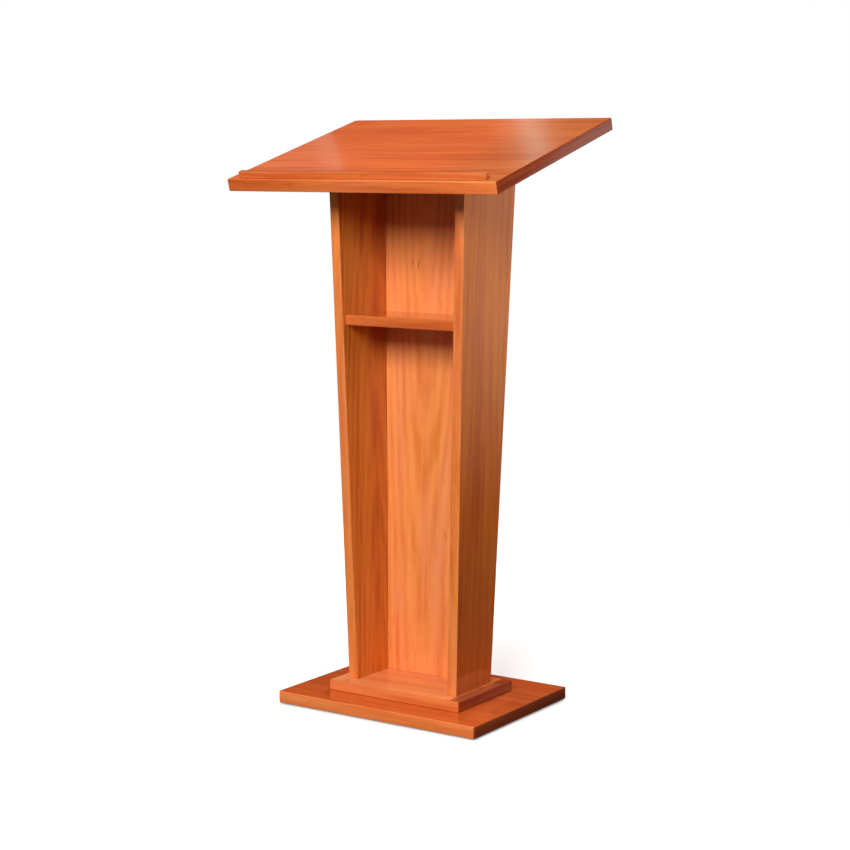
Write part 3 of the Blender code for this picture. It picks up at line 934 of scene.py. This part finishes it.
@dataclass(frozen=True)
class Dowel(Fastener):
    """Fluted beech dowels of one size, with chamfered ends."""

    slot: ClassVar[str] = "beech"
    radius: float
    back: float                         # reach behind the joint's face
    ahead: float                        # reach past it
    chamfer: float = 0.001
    flutes: int = 14
    flute_depth: float = 0.0003

    def profile(self) -> Profile:
        """Outline of the dowel.

        Returns:
            The profile.
        """
        nose = self.radius - self.chamfer
        return [(0, -self.back), (nose, -self.back), (self.radius, self.chamfer - self.back),
                (self.radius, self.ahead - self.chamfer), (nose, self.ahead), (0, self.ahead)]

    def hole(self) -> Profile:
        """Outline of its hole."""
        radius, first, last = self.radius + CLEARANCE, -self.back - OVERRUN, self.ahead + OVERRUN
        return [(0, first), (radius, first), (radius, last), (0, last)]

    def master(self) -> Piece:
        """Turn the dowel and press its flutes.

        Returns:
            The dowel, made along Z.
        """
        dowel = Piece.turned("dowel_master", self.profile(), 4 * self.flutes)
        for vertex in dowel.body.data.vertices:
            radius = math.hypot(vertex.co.x, vertex.co.y)
            if radius >= self.radius - TOUCH:
                wave = 0.5 - 0.5 * math.cos(self.flutes * math.atan2(vertex.co.y, vertex.co.x))
                vertex.co.xy *= 1 - self.flute_depth * wave / radius
        return dowel


@dataclass(frozen=True)
class Glide(Fastener):
    """Nail-on nylon glides, each a pad with an eased rim on a pin."""

    slot: ClassVar[str] = "black_nylon"
    radius: float = 0.011
    height: float = 0.0017              # pad, below the base plate
    rim: float = 0.0007
    pin_radius: float = 0.0025
    pin_length: float = 0.0103
    steps: int = 48

    def profile(self) -> Profile:
        """Outline of the glide.

        Returns:
            The profile.
        """
        pad, pin, rim, top = self.radius, self.pin_radius, self.rim, self.height + self.pin_length
        return [(0, 0), (pad - rim, 0), (pad - 0.3 * rim, 0.3 * rim), (pad, rim), (pad, self.height),
                (pin, self.height), (pin, top - pin), (0, top)]

    def hole(self) -> Profile:
        """Outline of the pin's hole."""
        bore, top = self.pin_radius + CLEARANCE, self.height + self.pin_length + OVERRUN
        return [(0, -OVERRUN), (bore, -OVERRUN), (bore, top), (0, top)]

    def master(self) -> Piece:
        """Turn the glide."""
        return Piece.turned("glide_master", self.profile(), self.steps)


# ---------------------------------------------------------------- boards
@dataclass(frozen=True)
class Lipping:
    """Sizes of the edge bands and of the arrises worked on them."""

    thickness: float = 0.002
    arris: float = 0.0014
    seam_arris: float = 0.0004
    hairline: float = 0.00012           # eased edge of a face veneer beside its band
    seam: float = 0.00006               # what the glue line leaves open

    @property
    def reach(self) -> float:
        """Return how far a board stays in from the face of its band."""
        return self.thickness + self.seam


LIPPING = Lipping()


@dataclass(frozen=True)
class RoundedBoard:
    """A flat board with rounded corners and a band round it, tipped about X."""

    name: str
    size: Triple                        # width, depth and thickness
    radius: float
    centre: Vector
    tip: float = 0.0
    corner_steps: int = 8

    def rounded_blank(self, name: str, inset: float = 0.0) -> Piece:
        """Cut a blank with round corners about the origin.

        Args:
            name: The piece's name.
            inset: How far it stays inside the board's outline.

        Returns:
            The blank.
        """
        width, depth, thickness = self.size
        blank = Piece.blank(name, (width - 2 * inset, depth - 2 * inset, thickness))
        blank.ease(lambda edge: not self.level(edge), self.radius - inset, self.corner_steps, worn=False)
        return blank

    @staticmethod
    def level(edge: bmesh.types.BMEdge) -> bool:
        """Say whether an edge lies level."""
        return abs(edge.verts[0].co.z - edge.verts[1].co.z) < TOUCH

    def on_rim(self, edge: bmesh.types.BMEdge) -> bool:
        """Say whether an edge runs round the top or bottom of a board about the origin, on its outer wall.

        Args:
            edge: The edge.

        Returns:
            Whether it does.
        """
        walls = [face for face in edge.link_faces if abs(face.normal.z) < SLANT]
        if not self.level(edge) or len(walls) != 1:
            return False
        return walls[0].normal.dot(walls[0].calc_center_median() * Vector((1, 1, 0))) > 0

    def core(self) -> Piece:
        """Make the board inside its band.

        Returns:
            The board, in its place.
        """
        core = self.rounded_blank(f"{self.name}_veneered", LIPPING.reach)
        core.ease(self.on_rim, LIPPING.hairline, 1)
        return self.placed(core)

    def band(self) -> Piece:
        """Make the closed band: a blank with its middle taken out, and its outer arrises eased.

        Returns:
            The band, in its place.
        """
        band = self.rounded_blank(f"{self.name}_lipping")
        with band.clamped("FACE"):
            band.pick(lambda face: abs(face.normal.z) > FACING, "faces")
            bpy.ops.mesh.inset(thickness=LIPPING.thickness, use_even_offset=True)
            bpy.ops.mesh.delete(type="FACE")
            bpy.ops.mesh.select_mode(type="EDGE")
            band.pick(lambda edge: edge.is_boundary)
            bpy.ops.mesh.bridge_edge_loops()
            bpy.ops.mesh.select_all(action="SELECT")
            bpy.ops.mesh.normals_make_consistent(inside=False)
        band.ease(self.on_rim, LIPPING.arris)
        return self.placed(band)

    def placed(self, piece: Piece) -> Piece:
        """Tip a piece made about the origin and carry it to the board's place."""
        return piece.settle(rotation_euler=(self.tip, 0, 0), location=self.centre)

    def build(self, kinds: Sequence[Fastener], finishes: "Finishes") -> None:
        """Build the board and its band.

        Args:
            kinds: The fasteners that it is bored for.
            finishes: The lectern's materials.
        """
        core, band = self.core(), self.band()
        core.bore([cutter for kind in kinds for cutter in kind.cutters()])
        under = (0, math.sin(self.tip), -math.cos(self.tip))
        core.present("cherry_face", self.name, *finishes.faced(self.name, under))
        node = f"{self.name}_edge_band"
        low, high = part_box(node)
        end, middle = high.x - LIPPING.thickness - TOUCH, (low.y + high.y) / 2
        band.present("cherry_edge", node, finishes.of(*BAND_GRAIN[self.name]),
                     lambda face: 1 if abs(face.center.x) > end else 2 * int(face.center.y > middle))


# ---------------------------------------------------------------- the lectern
@dataclass
class Foot:
    """The base plate on its glides, and the plinth screwed to it."""

    base_thickness: float = 0.023
    plinth_thickness: float = 0.020
    corner_radius: float = 0.005
    screw_length: float = 0.0345

    def build(self, column_screws: Screw, finishes: "Finishes") -> None:
        """Build the foot.

        Args:
            column_screws: The screws that come up through the plinth into the column.
            finishes: The lectern's materials.
        """
        glides, screws = Glide(corner_seats("glide")), Screw(corner_seats("base_screw"), self.screw_length)
        for node, thickness, kinds in (
                ("base_plate", self.base_thickness, (glides, screws)),
                ("plinth", self.plinth_thickness, (screws, column_screws))):
            low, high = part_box(f"{node}_edge_band")
            size = (high.x - low.x, high.y - low.y, thickness)
            RoundedBoard(node, size, self.corner_radius, (low + high) / 2).build(kinds, finishes)
        screws.show(finishes["zinc_plate"])
        glides.show(finishes["black_nylon_glide"])


@dataclass
class Column:
    """The flared column: two side panels, the front panel between them and the shelf."""

    panel_thickness: float = 0.020
    side_lean: float = math.radians(1.65)
    speaker_lean: float = math.radians(1.85)
    audience_lean: float = math.radians(1.40)
    desk_tilt: float = math.radians(16.0)

    def __post_init__(self) -> None:
        """Find the planes that bound the column from the boxes of its boards, and seat its fasteners."""
        low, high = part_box("front_panel")
        self.foot = Plane(Vector((0, 0, low.z)), -UP)
        self.head = Plane(
            Vector((0, high.y, high.z)), Vector((0, -math.sin(self.desk_tilt), math.cos(self.desk_tilt))))
        self.audience = Plane(self.head.point, self.leaning(0, 1, self.audience_lean))
        open_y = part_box("side_edge_band_right_speaker")[0].y
        open_top = Vector((0, open_y, self.head.meet((0, open_y, 0), 2)))
        self.speaker = Plane(open_top, self.leaning(0, -1, self.speaker_lean))
        self.front_inner = self.audience.inset(self.panel_thickness)
        self.dowels = Dowel({
            f"{kind}_dowel_{side.word}_{mark}": self.inner(side).normal for side in Side
            for kind, marks in (("front", "123"), ("shelf", ("speaker", "audience"))) for mark in marks},
            radius=0.004, back=0.020, ahead=0.012)
        self.screws = Screw({
            f"{kind}_screw_{side.word}{end}": UP for side in Side
            for kind, ends in (("panel", ("_speaker", "_audience")), ("front", ("",))) for end in ends},
            length=0.0495)

    @staticmethod
    def leaning(x: float, y: float, lean: float) -> Vector:
        """Return the normal of a face that looks along (x, y) and leans outwards as it rises."""
        return Vector((x * math.cos(lean), y * math.cos(lean), -math.sin(lean)))

    def outer(self, side: Side) -> Plane:
        """Return the outer face of a side panel."""
        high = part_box("side_panel_right")[1]
        return Plane(Vector((side.value * high.x, 0, high.z)), self.leaning(side.value, 0, self.side_lean))

    def inner(self, side: Side) -> Plane:
        """Return the inner face of a side panel."""
        return self.outer(side).inset(self.panel_thickness)

    def side_panel(self, side: Side, cutters: Sequence[Piece], finishes: "Finishes") -> None:
        """Build a side panel with the bands on its two upright edges.

        Args:
            side: Which one.
            cutters: What it is bored with.
            finishes: The lectern's materials.
        """
        outer, inner = self.outer(side), self.inner(side).reversed()
        ends = (self.speaker.inset(LIPPING.reach), self.audience.inset(LIPPING.reach))
        name = f"side_panel_{side.word}"
        panel = Piece.sawn(
            f"{name}_veneered", [outer, inner, *ends, self.foot, self.head],
            [(face, end, LIPPING.hairline) for face in (outer, inner) for end in ends], 1)
        panel.bore(cutters)
        panel.present("cherry_face", name, *finishes.faced(name, outer.normal))
        for end, face, inner_arris in (
                ("speaker", self.speaker, LIPPING.arris), ("audience", self.audience, LIPPING.seam_arris)):
            back = face.inset(LIPPING.thickness).reversed()
            Piece.sawn(
                f"side_lipping_{side.word}_{end}", [outer, inner, face, back, self.foot, self.head],
                [(outer, face, LIPPING.arris), (inner, face, inner_arris)]).present(
                "cherry_edge", f"side_edge_band_{side.word}_{end}", finishes.of("upright_lipping"))

    def front_panel(self, cutters: Sequence[Piece], finishes: "Finishes") -> None:
        """Build the front panel between the side panels.

        Args:
            cutters: What it is bored with.
            finishes: The lectern's materials.
        """
        ends = [self.inner(side).inset(CLEARANCE) for side in Side]
        panel = Piece.sawn(
            "front_panel_veneered", [self.audience, self.front_inner.reversed(), *ends, self.foot, self.head],
            [(self.audience, end, LIPPING.seam_arris) for end in ends])
        panel.bore(cutters)
        panel.present("cherry_face", "front_panel", *finishes.faced("front_panel", self.audience.normal))

    def shelf(self, cutters: Sequence[Piece], finishes: "Finishes") -> None:
        """Build the shelf and the band on its open edge.

        Args:
            cutters: What it is bored with.
            finishes: The lectern's materials.
        """
        low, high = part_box("shelf")
        faces = Plane(Vector((0, 0, high.z)), UP), Plane(Vector((0, 0, low.z)), -UP)
        front = Plane(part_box("shelf_edge_band")[0], Vector((0, -1, 0)))
        inside, back = front.inset(LIPPING.reach), self.front_inner.inset(CLEARANCE)
        ends = [self.inner(side).inset(CLEARANCE) for side in Side]
        board = Piece.sawn(
            "shelf_veneered", [*faces, inside, back, *ends],
            [(inside, face, LIPPING.hairline) for face in faces], 1)
        board.bore(cutters)
        board.present("cherry_face", "shelf", finishes.of("shelf"))
        Piece.sawn(
            "shelf_lipping", [*faces, front, front.inset(LIPPING.thickness).reversed(), *ends],
            [(front, face, LIPPING.arris) for face in faces]).present(
            "cherry_edge", "shelf_edge_band", finishes.of("shelf_edge_lipping"))

    def build(self, cleat_screws: Screw, finishes: "Finishes") -> None:
        """Build the column.

        Args:
            cleat_screws: The screws that hold the cleats to the side panels.
            finishes: The lectern's materials.
        """
        for side in Side:
            self.side_panel(side, [
                *self.dowels.cutters(side.word), *self.screws.cutters(f"panel_screw_{side.word}"),
                *cleat_screws.cutters(side.word)], finishes)
        self.front_panel(self.dowels.cutters("front") + self.screws.cutters("front"), finishes)
        self.shelf(self.dowels.cutters("shelf"), finishes)
        self.dowels.show(finishes["beech_across"])
        self.screws.show(finishes["zinc_plate"])


@dataclass
class Desk:
    """The tilted desk board, its book stop, and the cleats that carry it."""

    column: Column
    size: Triple = (0.600, 0.445, 0.023)
    radius: float = 0.006
    stop_size: Triple = (0.550, 0.012, 0.013)
    stop_end_radius: float = 0.0025
    stop_corner_steps: int = 6
    cleat_width: float = 0.022
    cleat_height: float = 0.022
    cleat_speaker_setback: float = 0.022
    cleat_audience_setback: float = 0.006
    cleat_arris: float = 0.0010

    def __post_init__(self) -> None:
        """Seat the fasteners."""
        up_slope = self.column.head.normal
        self.to_column = Screw(
            corner_seats("cleat_side_screw", lambda side: self.column.inner(side).normal), length=0.0335)
        self.to_desk = Screw(corner_seats("cleat_desk_screw", lambda side: up_slope), length=0.0353)
        self.pins = Dowel({f"stop_pin_{index}": up_slope for index in (1, 2, 3)}, radius=0.002, back=0.0138,
                          ahead=0.0078, flutes=10, flute_depth=0.00015)

    def cleat(self, side: Side, finishes: "Finishes") -> None:
        """Build one cleat, against its side panel and under the desk.

        Args:
            side: Which one.
            finishes: The lectern's materials.
        """
        column, word = self.column, side.word
        against = column.inner(side).inset(CLEARANCE)
        free = against.inset(self.cleat_width).reversed()
        under = column.head.inset(self.cleat_height).reversed()
        ends = (column.speaker.inset(self.cleat_speaker_setback),
                column.front_inner.inset(self.cleat_audience_setback))
        arrises = [(free, under), *((face, end) for end in ends for face in (free, under))]
        cleat = Piece.sawn(
            f"cleat_{word}_eased", [against, free, column.head, under, *ends],
            [(*pair, self.cleat_arris) for pair in arrises], 3)
        cleat.bore(self.to_column.cutters(word) + self.to_desk.cutters(word))
        cleat.present("beech", f"cleat_{word}", finishes.of("beech_towards"))

    def book_stop(self, finishes: "Finishes") -> None:
        """Build the book stop, with rounded ends and all its arrises eased.

        Args:
            finishes: The lectern's materials.
        """
        stop = RoundedBoard(
            "book_stop", self.stop_size, self.stop_end_radius, box_middle("book_stop"), self.column.desk_tilt,
            self.stop_corner_steps)
        piece = stop.rounded_blank("book_stop_eased")
        piece.ease(stop.on_rim, LIPPING.arris)
        stop.placed(piece).bore(self.pins.cutters())
        piece.present("cherry_edge", "book_stop", finishes.of("book_stop_cherry"))

    def build(self, finishes: "Finishes") -> None:
        """Build the desk.

        Args:
            finishes: The lectern's materials.
        """
        centre = box_middle("desk_board_edge_band")
        board = RoundedBoard("desk_board", self.size, self.radius, centre, self.column.desk_tilt)
        board.build((self.to_desk, self.pins), finishes)
        self.book_stop(finishes)
        for side in Side:
            self.cleat(side, finishes)
        self.pins.show(finishes["beech_upright"])
        for screws in (self.to_column, self.to_desk):
            screws.show(finishes["zinc_plate"])


# ---------------------------------------------------------------- the lectern's veneers
BAND_GRAIN = {      # what a band takes on the speaker's side, at its ends and on the audience's side
    "base_plate": ("base_lipping", "end_lipping", "audience_lipping"),
    "plinth": ("plinth_lipping", "end_lipping", "audience_lipping"),
    "desk_board": ("desk_across_lipping", "desk_end_lipping", "desk_across_lipping"),
}
PIN_KNOTS = (       # x, z, half width, half height and strength
    (-0.0518, 0.8625, 0.0010, 0.0058, 0.70), (-0.0650, 0.8670, 0.0007, 0.0042, 0.70),
    (0.0265, 0.3270, 0.0008, 0.0052, 0.45), (0.0230, 0.3350, 0.0006, 0.0040, 0.40),
)


class Finishes:
    """Every material of the lectern, each board with its own piece of the veneer."""

    def __init__(self, column: Column) -> None:
        """Mix the finishes.

        Args:
            column: The column, whose inner front face has the pin knots.
        """
        self.column = column
        plain = (Beech("beech_across", Grain.ACROSS), Beech("beech_towards", Grain.TOWARDS),
                 Beech("beech_upright", Grain.UPRIGHT), ZINC_PLATE, BLACK_NYLON)
        self.mixed = {finish.name: finish.material() for finish in (*self.faces(), *self.edges(), *plain)}

    def __getitem__(self, name: str) -> Material:
        """Return a material by its name."""
        return self.mixed[name]

    def of(self, *names: str) -> list[Material]:
        """Return materials by their names."""
        return [self.mixed[name] for name in names]

    def faced(self, name: str, outward: Sequence[float]) -> tuple[list[Material], Callable | None]:
        """Choose a board's veneers, and which of its faces takes which.

        Args:
            name: The board.
            outward: The way that its outer face looks.

        Returns:
            Its materials, and the test of a face, where it has a second one.
        """
        if f"{name}_outside" not in self.mixed:
            return self.of(name), None
        outside = Vector(outward)
        return self.of(name, f"{name}_outside"), lambda face: int(face.normal.dot(outside) > SLANT)

    def knots(self) -> tuple[PinKnot, ...]:
        """Place the pin knots on the inner face of the front panel.

        Returns:
            The knots.
        """
        inner = self.column.front_inner
        return tuple(PinKnot(Vector((x, inner.meet((0, 0, z), 1), z)), Vector((wide, 0.003, tall)), strength)
                     for x, z, wide, tall, strength in PIN_KNOTS)

    def faces(self) -> tuple[CherryVeneer, ...]:
        """Lay out the veneers of the boards' faces.

        Returns:
            The veneers.
        """
        foot_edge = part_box("side_panel_right")[0].x + self.column.panel_thickness
        foot_back = self.column.audience.meet((0, 0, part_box("front_panel")[0].z), 1)
        stop_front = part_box("book_stop")[0].y
        tip = self.column.desk_tilt
        quiet = {"rings": 0.08, "contrast": 0.60, "clouds": 0.26}
        return (
            # The base plate's darker, redder stain is painted shade from the desk over it.
            CherryVeneer("base_plate", Grain.ACROSS, Stain.BASE, (0.31, 1.27, 0.44)),
            CherryVeneer("plinth", Grain.ACROSS, Stain.PLINTH, (1.13, 0.52, 2.40), coat=0.6, leaves=(
                # The plinth's top is darkened beyond the column's right face and beyond its audience face:
                # painted shade of the column.
                Leaf("X", foot_edge - 0.002, foot_edge + 0.007, (0.45, 0.27, 0.18)),
                Leaf("Y", foot_back - 0.002, foot_back + 0.006, (0.84, 0.62, 0.42)))),
            CherryVeneer(
                "desk_board", Grain.ACROSS, Stain.DESK, (2.07, 1.71, 0.9), tip, rings=0.16, clouds=0.60,
                pith=(-0.98, 0.10, -0.3), pith_lean=(0.05, 0.04, 0.0), coat=0.6, leaves=(
                    # Less red towards the +X end, and paler, less red from the desk's low edge up to the book
                    # stop.
                    Leaf("X", 0.08, 0.24, (0.80, 0.97, 1.0)),
                    Leaf("Y", stop_front + 0.0045, stop_front + 0.0030, (0.80, 1.45, 1.45)))),
            # The underside's very dark stain is painted shade under the desk.
            CherryVeneer("desk_board_outside", Grain.ACROSS, Stain.UNDER_DESK, (1.51, 3.07, 0.3), tip,
                         roughness=0.55, coat=0.30, coat_roughness=0.20),
            CherryVeneer("side_panel_left", Grain.UPRIGHT, Stain.INSIDE, (1.73, 0.37, 1.1),
                         pith=(-0.07, 0.03, 0.4), pith_lean=(0.03, -0.05, 0.0)),
            CherryVeneer("side_panel_left_outside", Grain.UPRIGHT, Stain.OUTSIDE, (2.33, 1.47, 0.6), **quiet,
                         pith=(-0.24, 0.03, 0.4), pith_lean=(0.03, 0.02, 0.0)),
            CherryVeneer("side_panel_right", Grain.UPRIGHT, Stain.INSIDE, (0.93, 2.71, 2.2),
                         pith=(0.06, -0.03, 0.7), pith_lean=(-0.03, 0.05, 0.0)),
            CherryVeneer(
                "side_panel_right_outside", Grain.UPRIGHT, Stain.OUTSIDE, (0.57, 2.11, 3.3), **quiet,
                pith=(0.235, -0.02, 0.6), pith_lean=(-0.02, -0.03, 0.0), leaves=(
                    # Paler and greener from z 0.4 up: painted light, stronger at the top; less green and blue
                    # towards the floor: painted shade.
                    Leaf("Z", 0.40, 0.70, (1.08, 1.28, 1.08)), Leaf("Z", 0.35, 0.05, (1.0, 0.92, 0.78)))),
            # The inner face's paler, yellower stain is painted light.
            CherryVeneer("front_panel", Grain.UPRIGHT, Stain.FRONT, (0.012, 0.08, 5.2), rings=0.15,
                         contrast=0.62, pith=(-0.018, -0.022, 0.10), pith_lean=(0.09, 0.02, 0.0),
                         marks=self.knots()),
            CherryVeneer("front_panel_outside", Grain.UPRIGHT, Stain.AUDIENCE, (1.312, 0.98, 4.1), rings=0.06,
                         contrast=0.50, pith=(0.03, 0.19, 0.3), pith_lean=(0.05, 0.02, 0.0)),
            CherryVeneer("shelf", Grain.ACROSS, Stain.OUTSIDE, (2.61, 0.33, 1.7)))

    def edges(self) -> list[CherryVeneer]:
        """Lay out the veneers of the bands and of the book stop, with little figure and hardly worn.

        Returns:
            The veneers.
        """
        tip = self.column.desk_tilt
        # The desk's band goes darker towards -X and paler towards +X.
        ends = (Leaf("X", 0.0, -0.25, (0.90, 0.78, 0.60)), Leaf("X", 0.0, 0.25, (1.12, 1.18, 1.10)))
        return [
            CherryVeneer(name, grain, stain, shift, tilt, rings=0.08, wear=0.10, leaves=leaves)
            for name, grain, stain, shift, tilt, leaves in (
                # the upright bands: paler, yellower stain, painted light
                ("upright_lipping", Grain.UPRIGHT, Stain.POST, (3.1, 0.4, 0.2), 0.0, ()),
                ("shelf_edge_lipping", Grain.ACROSS, Stain.RIM, (3.9, 1.3, 0.2), 0.0, ()),
                ("end_lipping", Grain.TOWARDS, Stain.FOOT_END, (1.9, 2.3, 0.3), 0.0, ()),
                ("audience_lipping", Grain.ACROSS, Stain.AUDIENCE_EDGE, (2.2, 0.6, 1.4), 0.0, ()),
                ("desk_across_lipping", Grain.ACROSS, Stain.RIM, (0.2, 1.3, 1.6), tip, ends),
                # the base's band: paler stain, painted light
                ("base_lipping", Grain.ACROSS, Stain.BASE_EDGE, (0.9, 3.3, 0.6), 0.0, ()),
                ("plinth_lipping", Grain.ACROSS, Stain.PLINTH_EDGE, (0.9, 3.3, 0.6), 0.0, ()),
                ("desk_end_lipping", Grain.TOWARDS, Stain.DESK_END, (2.9, 0.3, 1.3), tip, ()),
                ("book_stop_cherry", Grain.ACROSS, Stain.RIM, (1.2, 2.6, 0.1), tip, ()))]


# ---------------------------------------------------------------- studio
def bearing(azimuth: float, elevation: float) -> Vector:
    """Point from the lectern to a place round it.

    Args:
        azimuth: Degrees, 0 on the speaker's side and 90 on the speaker's right.
        elevation: Degrees above the floor.

    Returns:
        The unit vector that way.
    """
    turn, lift = math.radians(azimuth), math.radians(elevation)
    return Vector((math.sin(turn) * math.cos(lift), -math.cos(turn) * math.cos(lift), math.sin(lift)))


@dataclass(frozen=True)
class Hung:
    """What hangs round the lectern and looks at it."""

    name: str
    azimuth: float
    elevation: float
    distance: float
    width: float
    height: float
    level: float                        # watts of a light, or strength of a glow
    aim: Triple

    def face(self, item: Object) -> None:
        """Carry an object to its place and turn it to its aim.

        Args:
            item: The object.
        """
        back = bearing(self.azimuth, self.elevation)
        item.location = Vector(self.aim) + back * self.distance
        item.rotation_mode = "QUATERNION"
        item.rotation_quaternion = (-back).to_track_quat("-Z", "Y")


@dataclass(frozen=True)
class Softbox(Hung):
    """A rectangular soft light."""

    mirrored: bool = False              # whether the lacquer mirrors it

    def hang(self) -> None:
        """Add the light."""
        data = bpy.data.lights.new(self.name, "AREA")
        data.shape, data.size, data.size_y, data.energy = "RECTANGLE", self.width, self.height, self.level
        lamp = bpy.data.objects.new(self.name, data)
        self.face(lamp)
        lamp.visible_glossy, lamp.visible_camera = self.mirrored, False
        bpy.context.scene.collection.objects.link(lamp)


@dataclass(frozen=True)
class Panel(Hung):
    """A glowing panel with faded edges, which lights nothing and shows only in the lacquer."""

    tint: Triple = WHITE
    fade_right: float = 0.02            # how far in from each edge its glow grows, seen from the lectern
    fade_left: float = 0.02
    fade_low: float = 0.02

    def hang(self) -> None:
        """Add the panel, whose glow lets what lies behind shine through."""
        panel = Piece.start(self.name, bpy.ops.mesh.primitive_plane_add, size=1)
        self.face(panel.settle(scale=(self.width, self.height, 1)).body)
        sheet = Sheet(bpy.data.materials.new(self.name))
        across, along = (sheet.add("SeparateXYZ", [sheet.objects], axis) for axis in "XY")
        half, foot = self.width / 2, self.height / 2
        share = self.level
        for place, dark, bright in (
                (across, -half, self.fade_right - half), (across, half, half - self.fade_left),
                (along, -foot, self.fade_low - foot)):
            share = sheet.maths("MULTIPLY", sheet.add("MapRange", (place, dark, bright)), share)
        panel.stage(sheet.closed(sheet.add(
            "AddShader", (sheet.glow(share, self.tint), sheet.add("BsdfTransparent")))), mirrored_only=True)


LIGHTS = (
    Softbox("key", 14, 22.9, 3.9, 1.9, 1.35, 157, (0, 0, 0.90), mirrored=True),
    Softbox("side", 90, 0, 0.90, 0.4, 0.4, 2.5, (0, 0.12, 0.88)),
    Softbox("rear", 188, 24, 4.2, 1.8, 1.8, 150, (0, 0, 0.75)),
    Softbox("left", -92, 5, 3.0, 1.6, 1.6, 24, (0, 0, 0.60)),
    Softbox("over", 10, 80, 3.6, 1.4, 1.4, 63, (0, 0, 1.0)),
)
PANELS = (
    Panel("studio_window_left", -139.7, 24.8, 5.0, 0.13, 1.0, 0.25, (-0.227, -0.025, 1.086),
          SKYLIGHT, 0.015, 0.09),
    Panel("studio_sky_left", -139.7, 24.8, 5.02, 0.50, 1.0, 0.14, (-0.381, -0.125, 1.086),
          SKYLIGHT, 0.015, 0.20),
    Panel("studio_window_right", -145.9, 26.5, 5.0, 0.17, 1.2, 0.58, (0.252, 0.032, 1.095),
          SKYLIGHT, 0.08, 0.08),
    Panel("studio_sky_right", -145.9, 26.5, 5.02, 0.34, 1.2, 0.26, (0.247, 0.029, 1.095),
          SKYLIGHT, 0.12, 0.12),
    Panel("studio_haze", 150, 0, 1.45, 0.88, 1.23, 0.50, (-0.052, 0.030, 0.735),
          WHITE, 0.22, 0.1, 0.52),
)


@dataclass(frozen=True)
class Studio:
    """A plain pale floor in a white surround, softboxes, and dark drapes that only gloss mirrors."""

    ambient: float = 0.06
    floor_radius: float = 6.5
    floor_drop: float = 0.0008
    floor_tone: float = 0.80
    floor_lift: float = 0.30            # lifts the open floor to the surround's white
    floor_bounce: float = 0.16
    shadow_reach: tuple[float, float] = (1.3, 2.6)      # where the floor turns to plain white
    drape_radius: float = 6.0
    drape_height: float = 5.5
    drape_tone: float = 0.02

    def surround(self) -> None:
        """Paint the world: white wherever it is seen, and a soft level of light elsewhere."""
        bpy.context.scene.world = bpy.data.worlds.new("surround")
        sheet = Sheet(bpy.context.scene.world)
        level = sheet.add("MapRange", {"Value": sheet.seen(), "To Min": self.ambient})
        sheet.closed(sheet.add("Background", (WHITE, level)))

    @staticmethod
    def disc(name: str, radius: float, drop: float) -> Piece:
        """Lay a disc a little under the lectern."""
        return Piece.start(name, bpy.ops.mesh.primitive_circle_add,
                           vertices=128, radius=radius, fill_type="NGON", location=(0, 0, -drop))

    def floor(self) -> None:
        """Lay the floor, which is white wherever it is seen and no shadow falls on it."""
        sheet = Sheet(bpy.data.materials.new("studio_floor"))
        lifted = sheet.add("AddShader", (sheet.matt(self.floor_tone), sheet.glow(self.floor_lift)))
        far = sheet.remap(sheet.vectors("LENGTH", sheet.objects), *self.shadow_reach)
        shown = sheet.add("MixShader", (far, lifted, sheet.glow(1.0)))
        paint = sheet.closed(sheet.add("MixShader", (sheet.seen(), sheet.matt(self.floor_bounce), shown)))
        self.disc("studio_floor", self.floor_radius, self.floor_drop).stage(paint, mirrored_only=False)

    def drapes(self) -> None:
        """Hang dark drapes and lay a dark mat, which only gloss mirrors."""
        sheet = Sheet(bpy.data.materials.new("studio_drape"))
        paint = sheet.closed(sheet.glow(self.drape_tone))
        self.disc("studio_mat", self.drape_radius, self.floor_drop / 2).stage(paint, mirrored_only=True)
        wall = Piece.start(
            "studio_drape", bpy.ops.mesh.primitive_cylinder_add, vertices=64, radius=self.drape_radius,
            depth=self.drape_height, end_fill_type="NGON", location=(0, 0, self.drape_height / 2))
        with wall.clamped("FACE"):
            wall.pick(lambda face: face.normal.z < -FACING, "faces")
            bpy.ops.mesh.delete(type="FACE")
        wall.stage(paint, mirrored_only=True)

    def build(self) -> None:
        """Set up the studio."""
        self.surround()
        self.floor()
        self.drapes()
        for hung in (*LIGHTS, *PANELS):
            hung.hang()
        bpy.context.scene.view_settings.view_transform = "Standard"
        LOG.info("studio: %d lights", len(LIGHTS))


@dataclass(frozen=True)
class Camera:
    """The camera, a little above the desk's level on the speaker's right."""

    azimuth: float = 33.104
    elevation: float = 7.357
    roll: float = 0.397
    distance: float = 3.81
    lens: float = 82.59
    sensor: float = 36.0
    target: Triple = (0, 0.022, 0.554)

    def stand(self) -> None:
        """Add the camera and look through it."""
        back = bearing(self.azimuth, self.elevation)
        level, roll = UP.cross(back).normalized(), math.radians(self.roll)
        right = level * math.cos(roll) + back.cross(level) * math.sin(roll)
        data = bpy.data.cameras.new("camera")
        data.lens, data.sensor_width = self.lens, self.sensor
        camera = bpy.data.objects.new("camera", data)
        turn = Matrix((right, back.cross(right), back)).transposed()
        camera.matrix_world = Matrix.Translation(Vector(self.target) + back * self.distance) @ turn.to_4x4()
        bpy.context.scene.collection.objects.link(camera)
        bpy.context.scene.camera = camera


# ---------------------------------------------------------------- making
def main() -> None:
    """Build the lectern from the floor up, then its studio and camera."""
    logging.basicConfig(level=logging.INFO, format="%(name)s: %(message)s")
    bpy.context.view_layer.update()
    column = Column()
    desk = Desk(column)
    finishes = Finishes(column)
    Foot().build(column.screws, finishes)
    column.build(desk.to_column, finishes)
    desk.build(finishes)
    Studio().build()
    Camera().stand()
    bpy.context.view_layer.update()


if __name__ == "__main__":
    main()
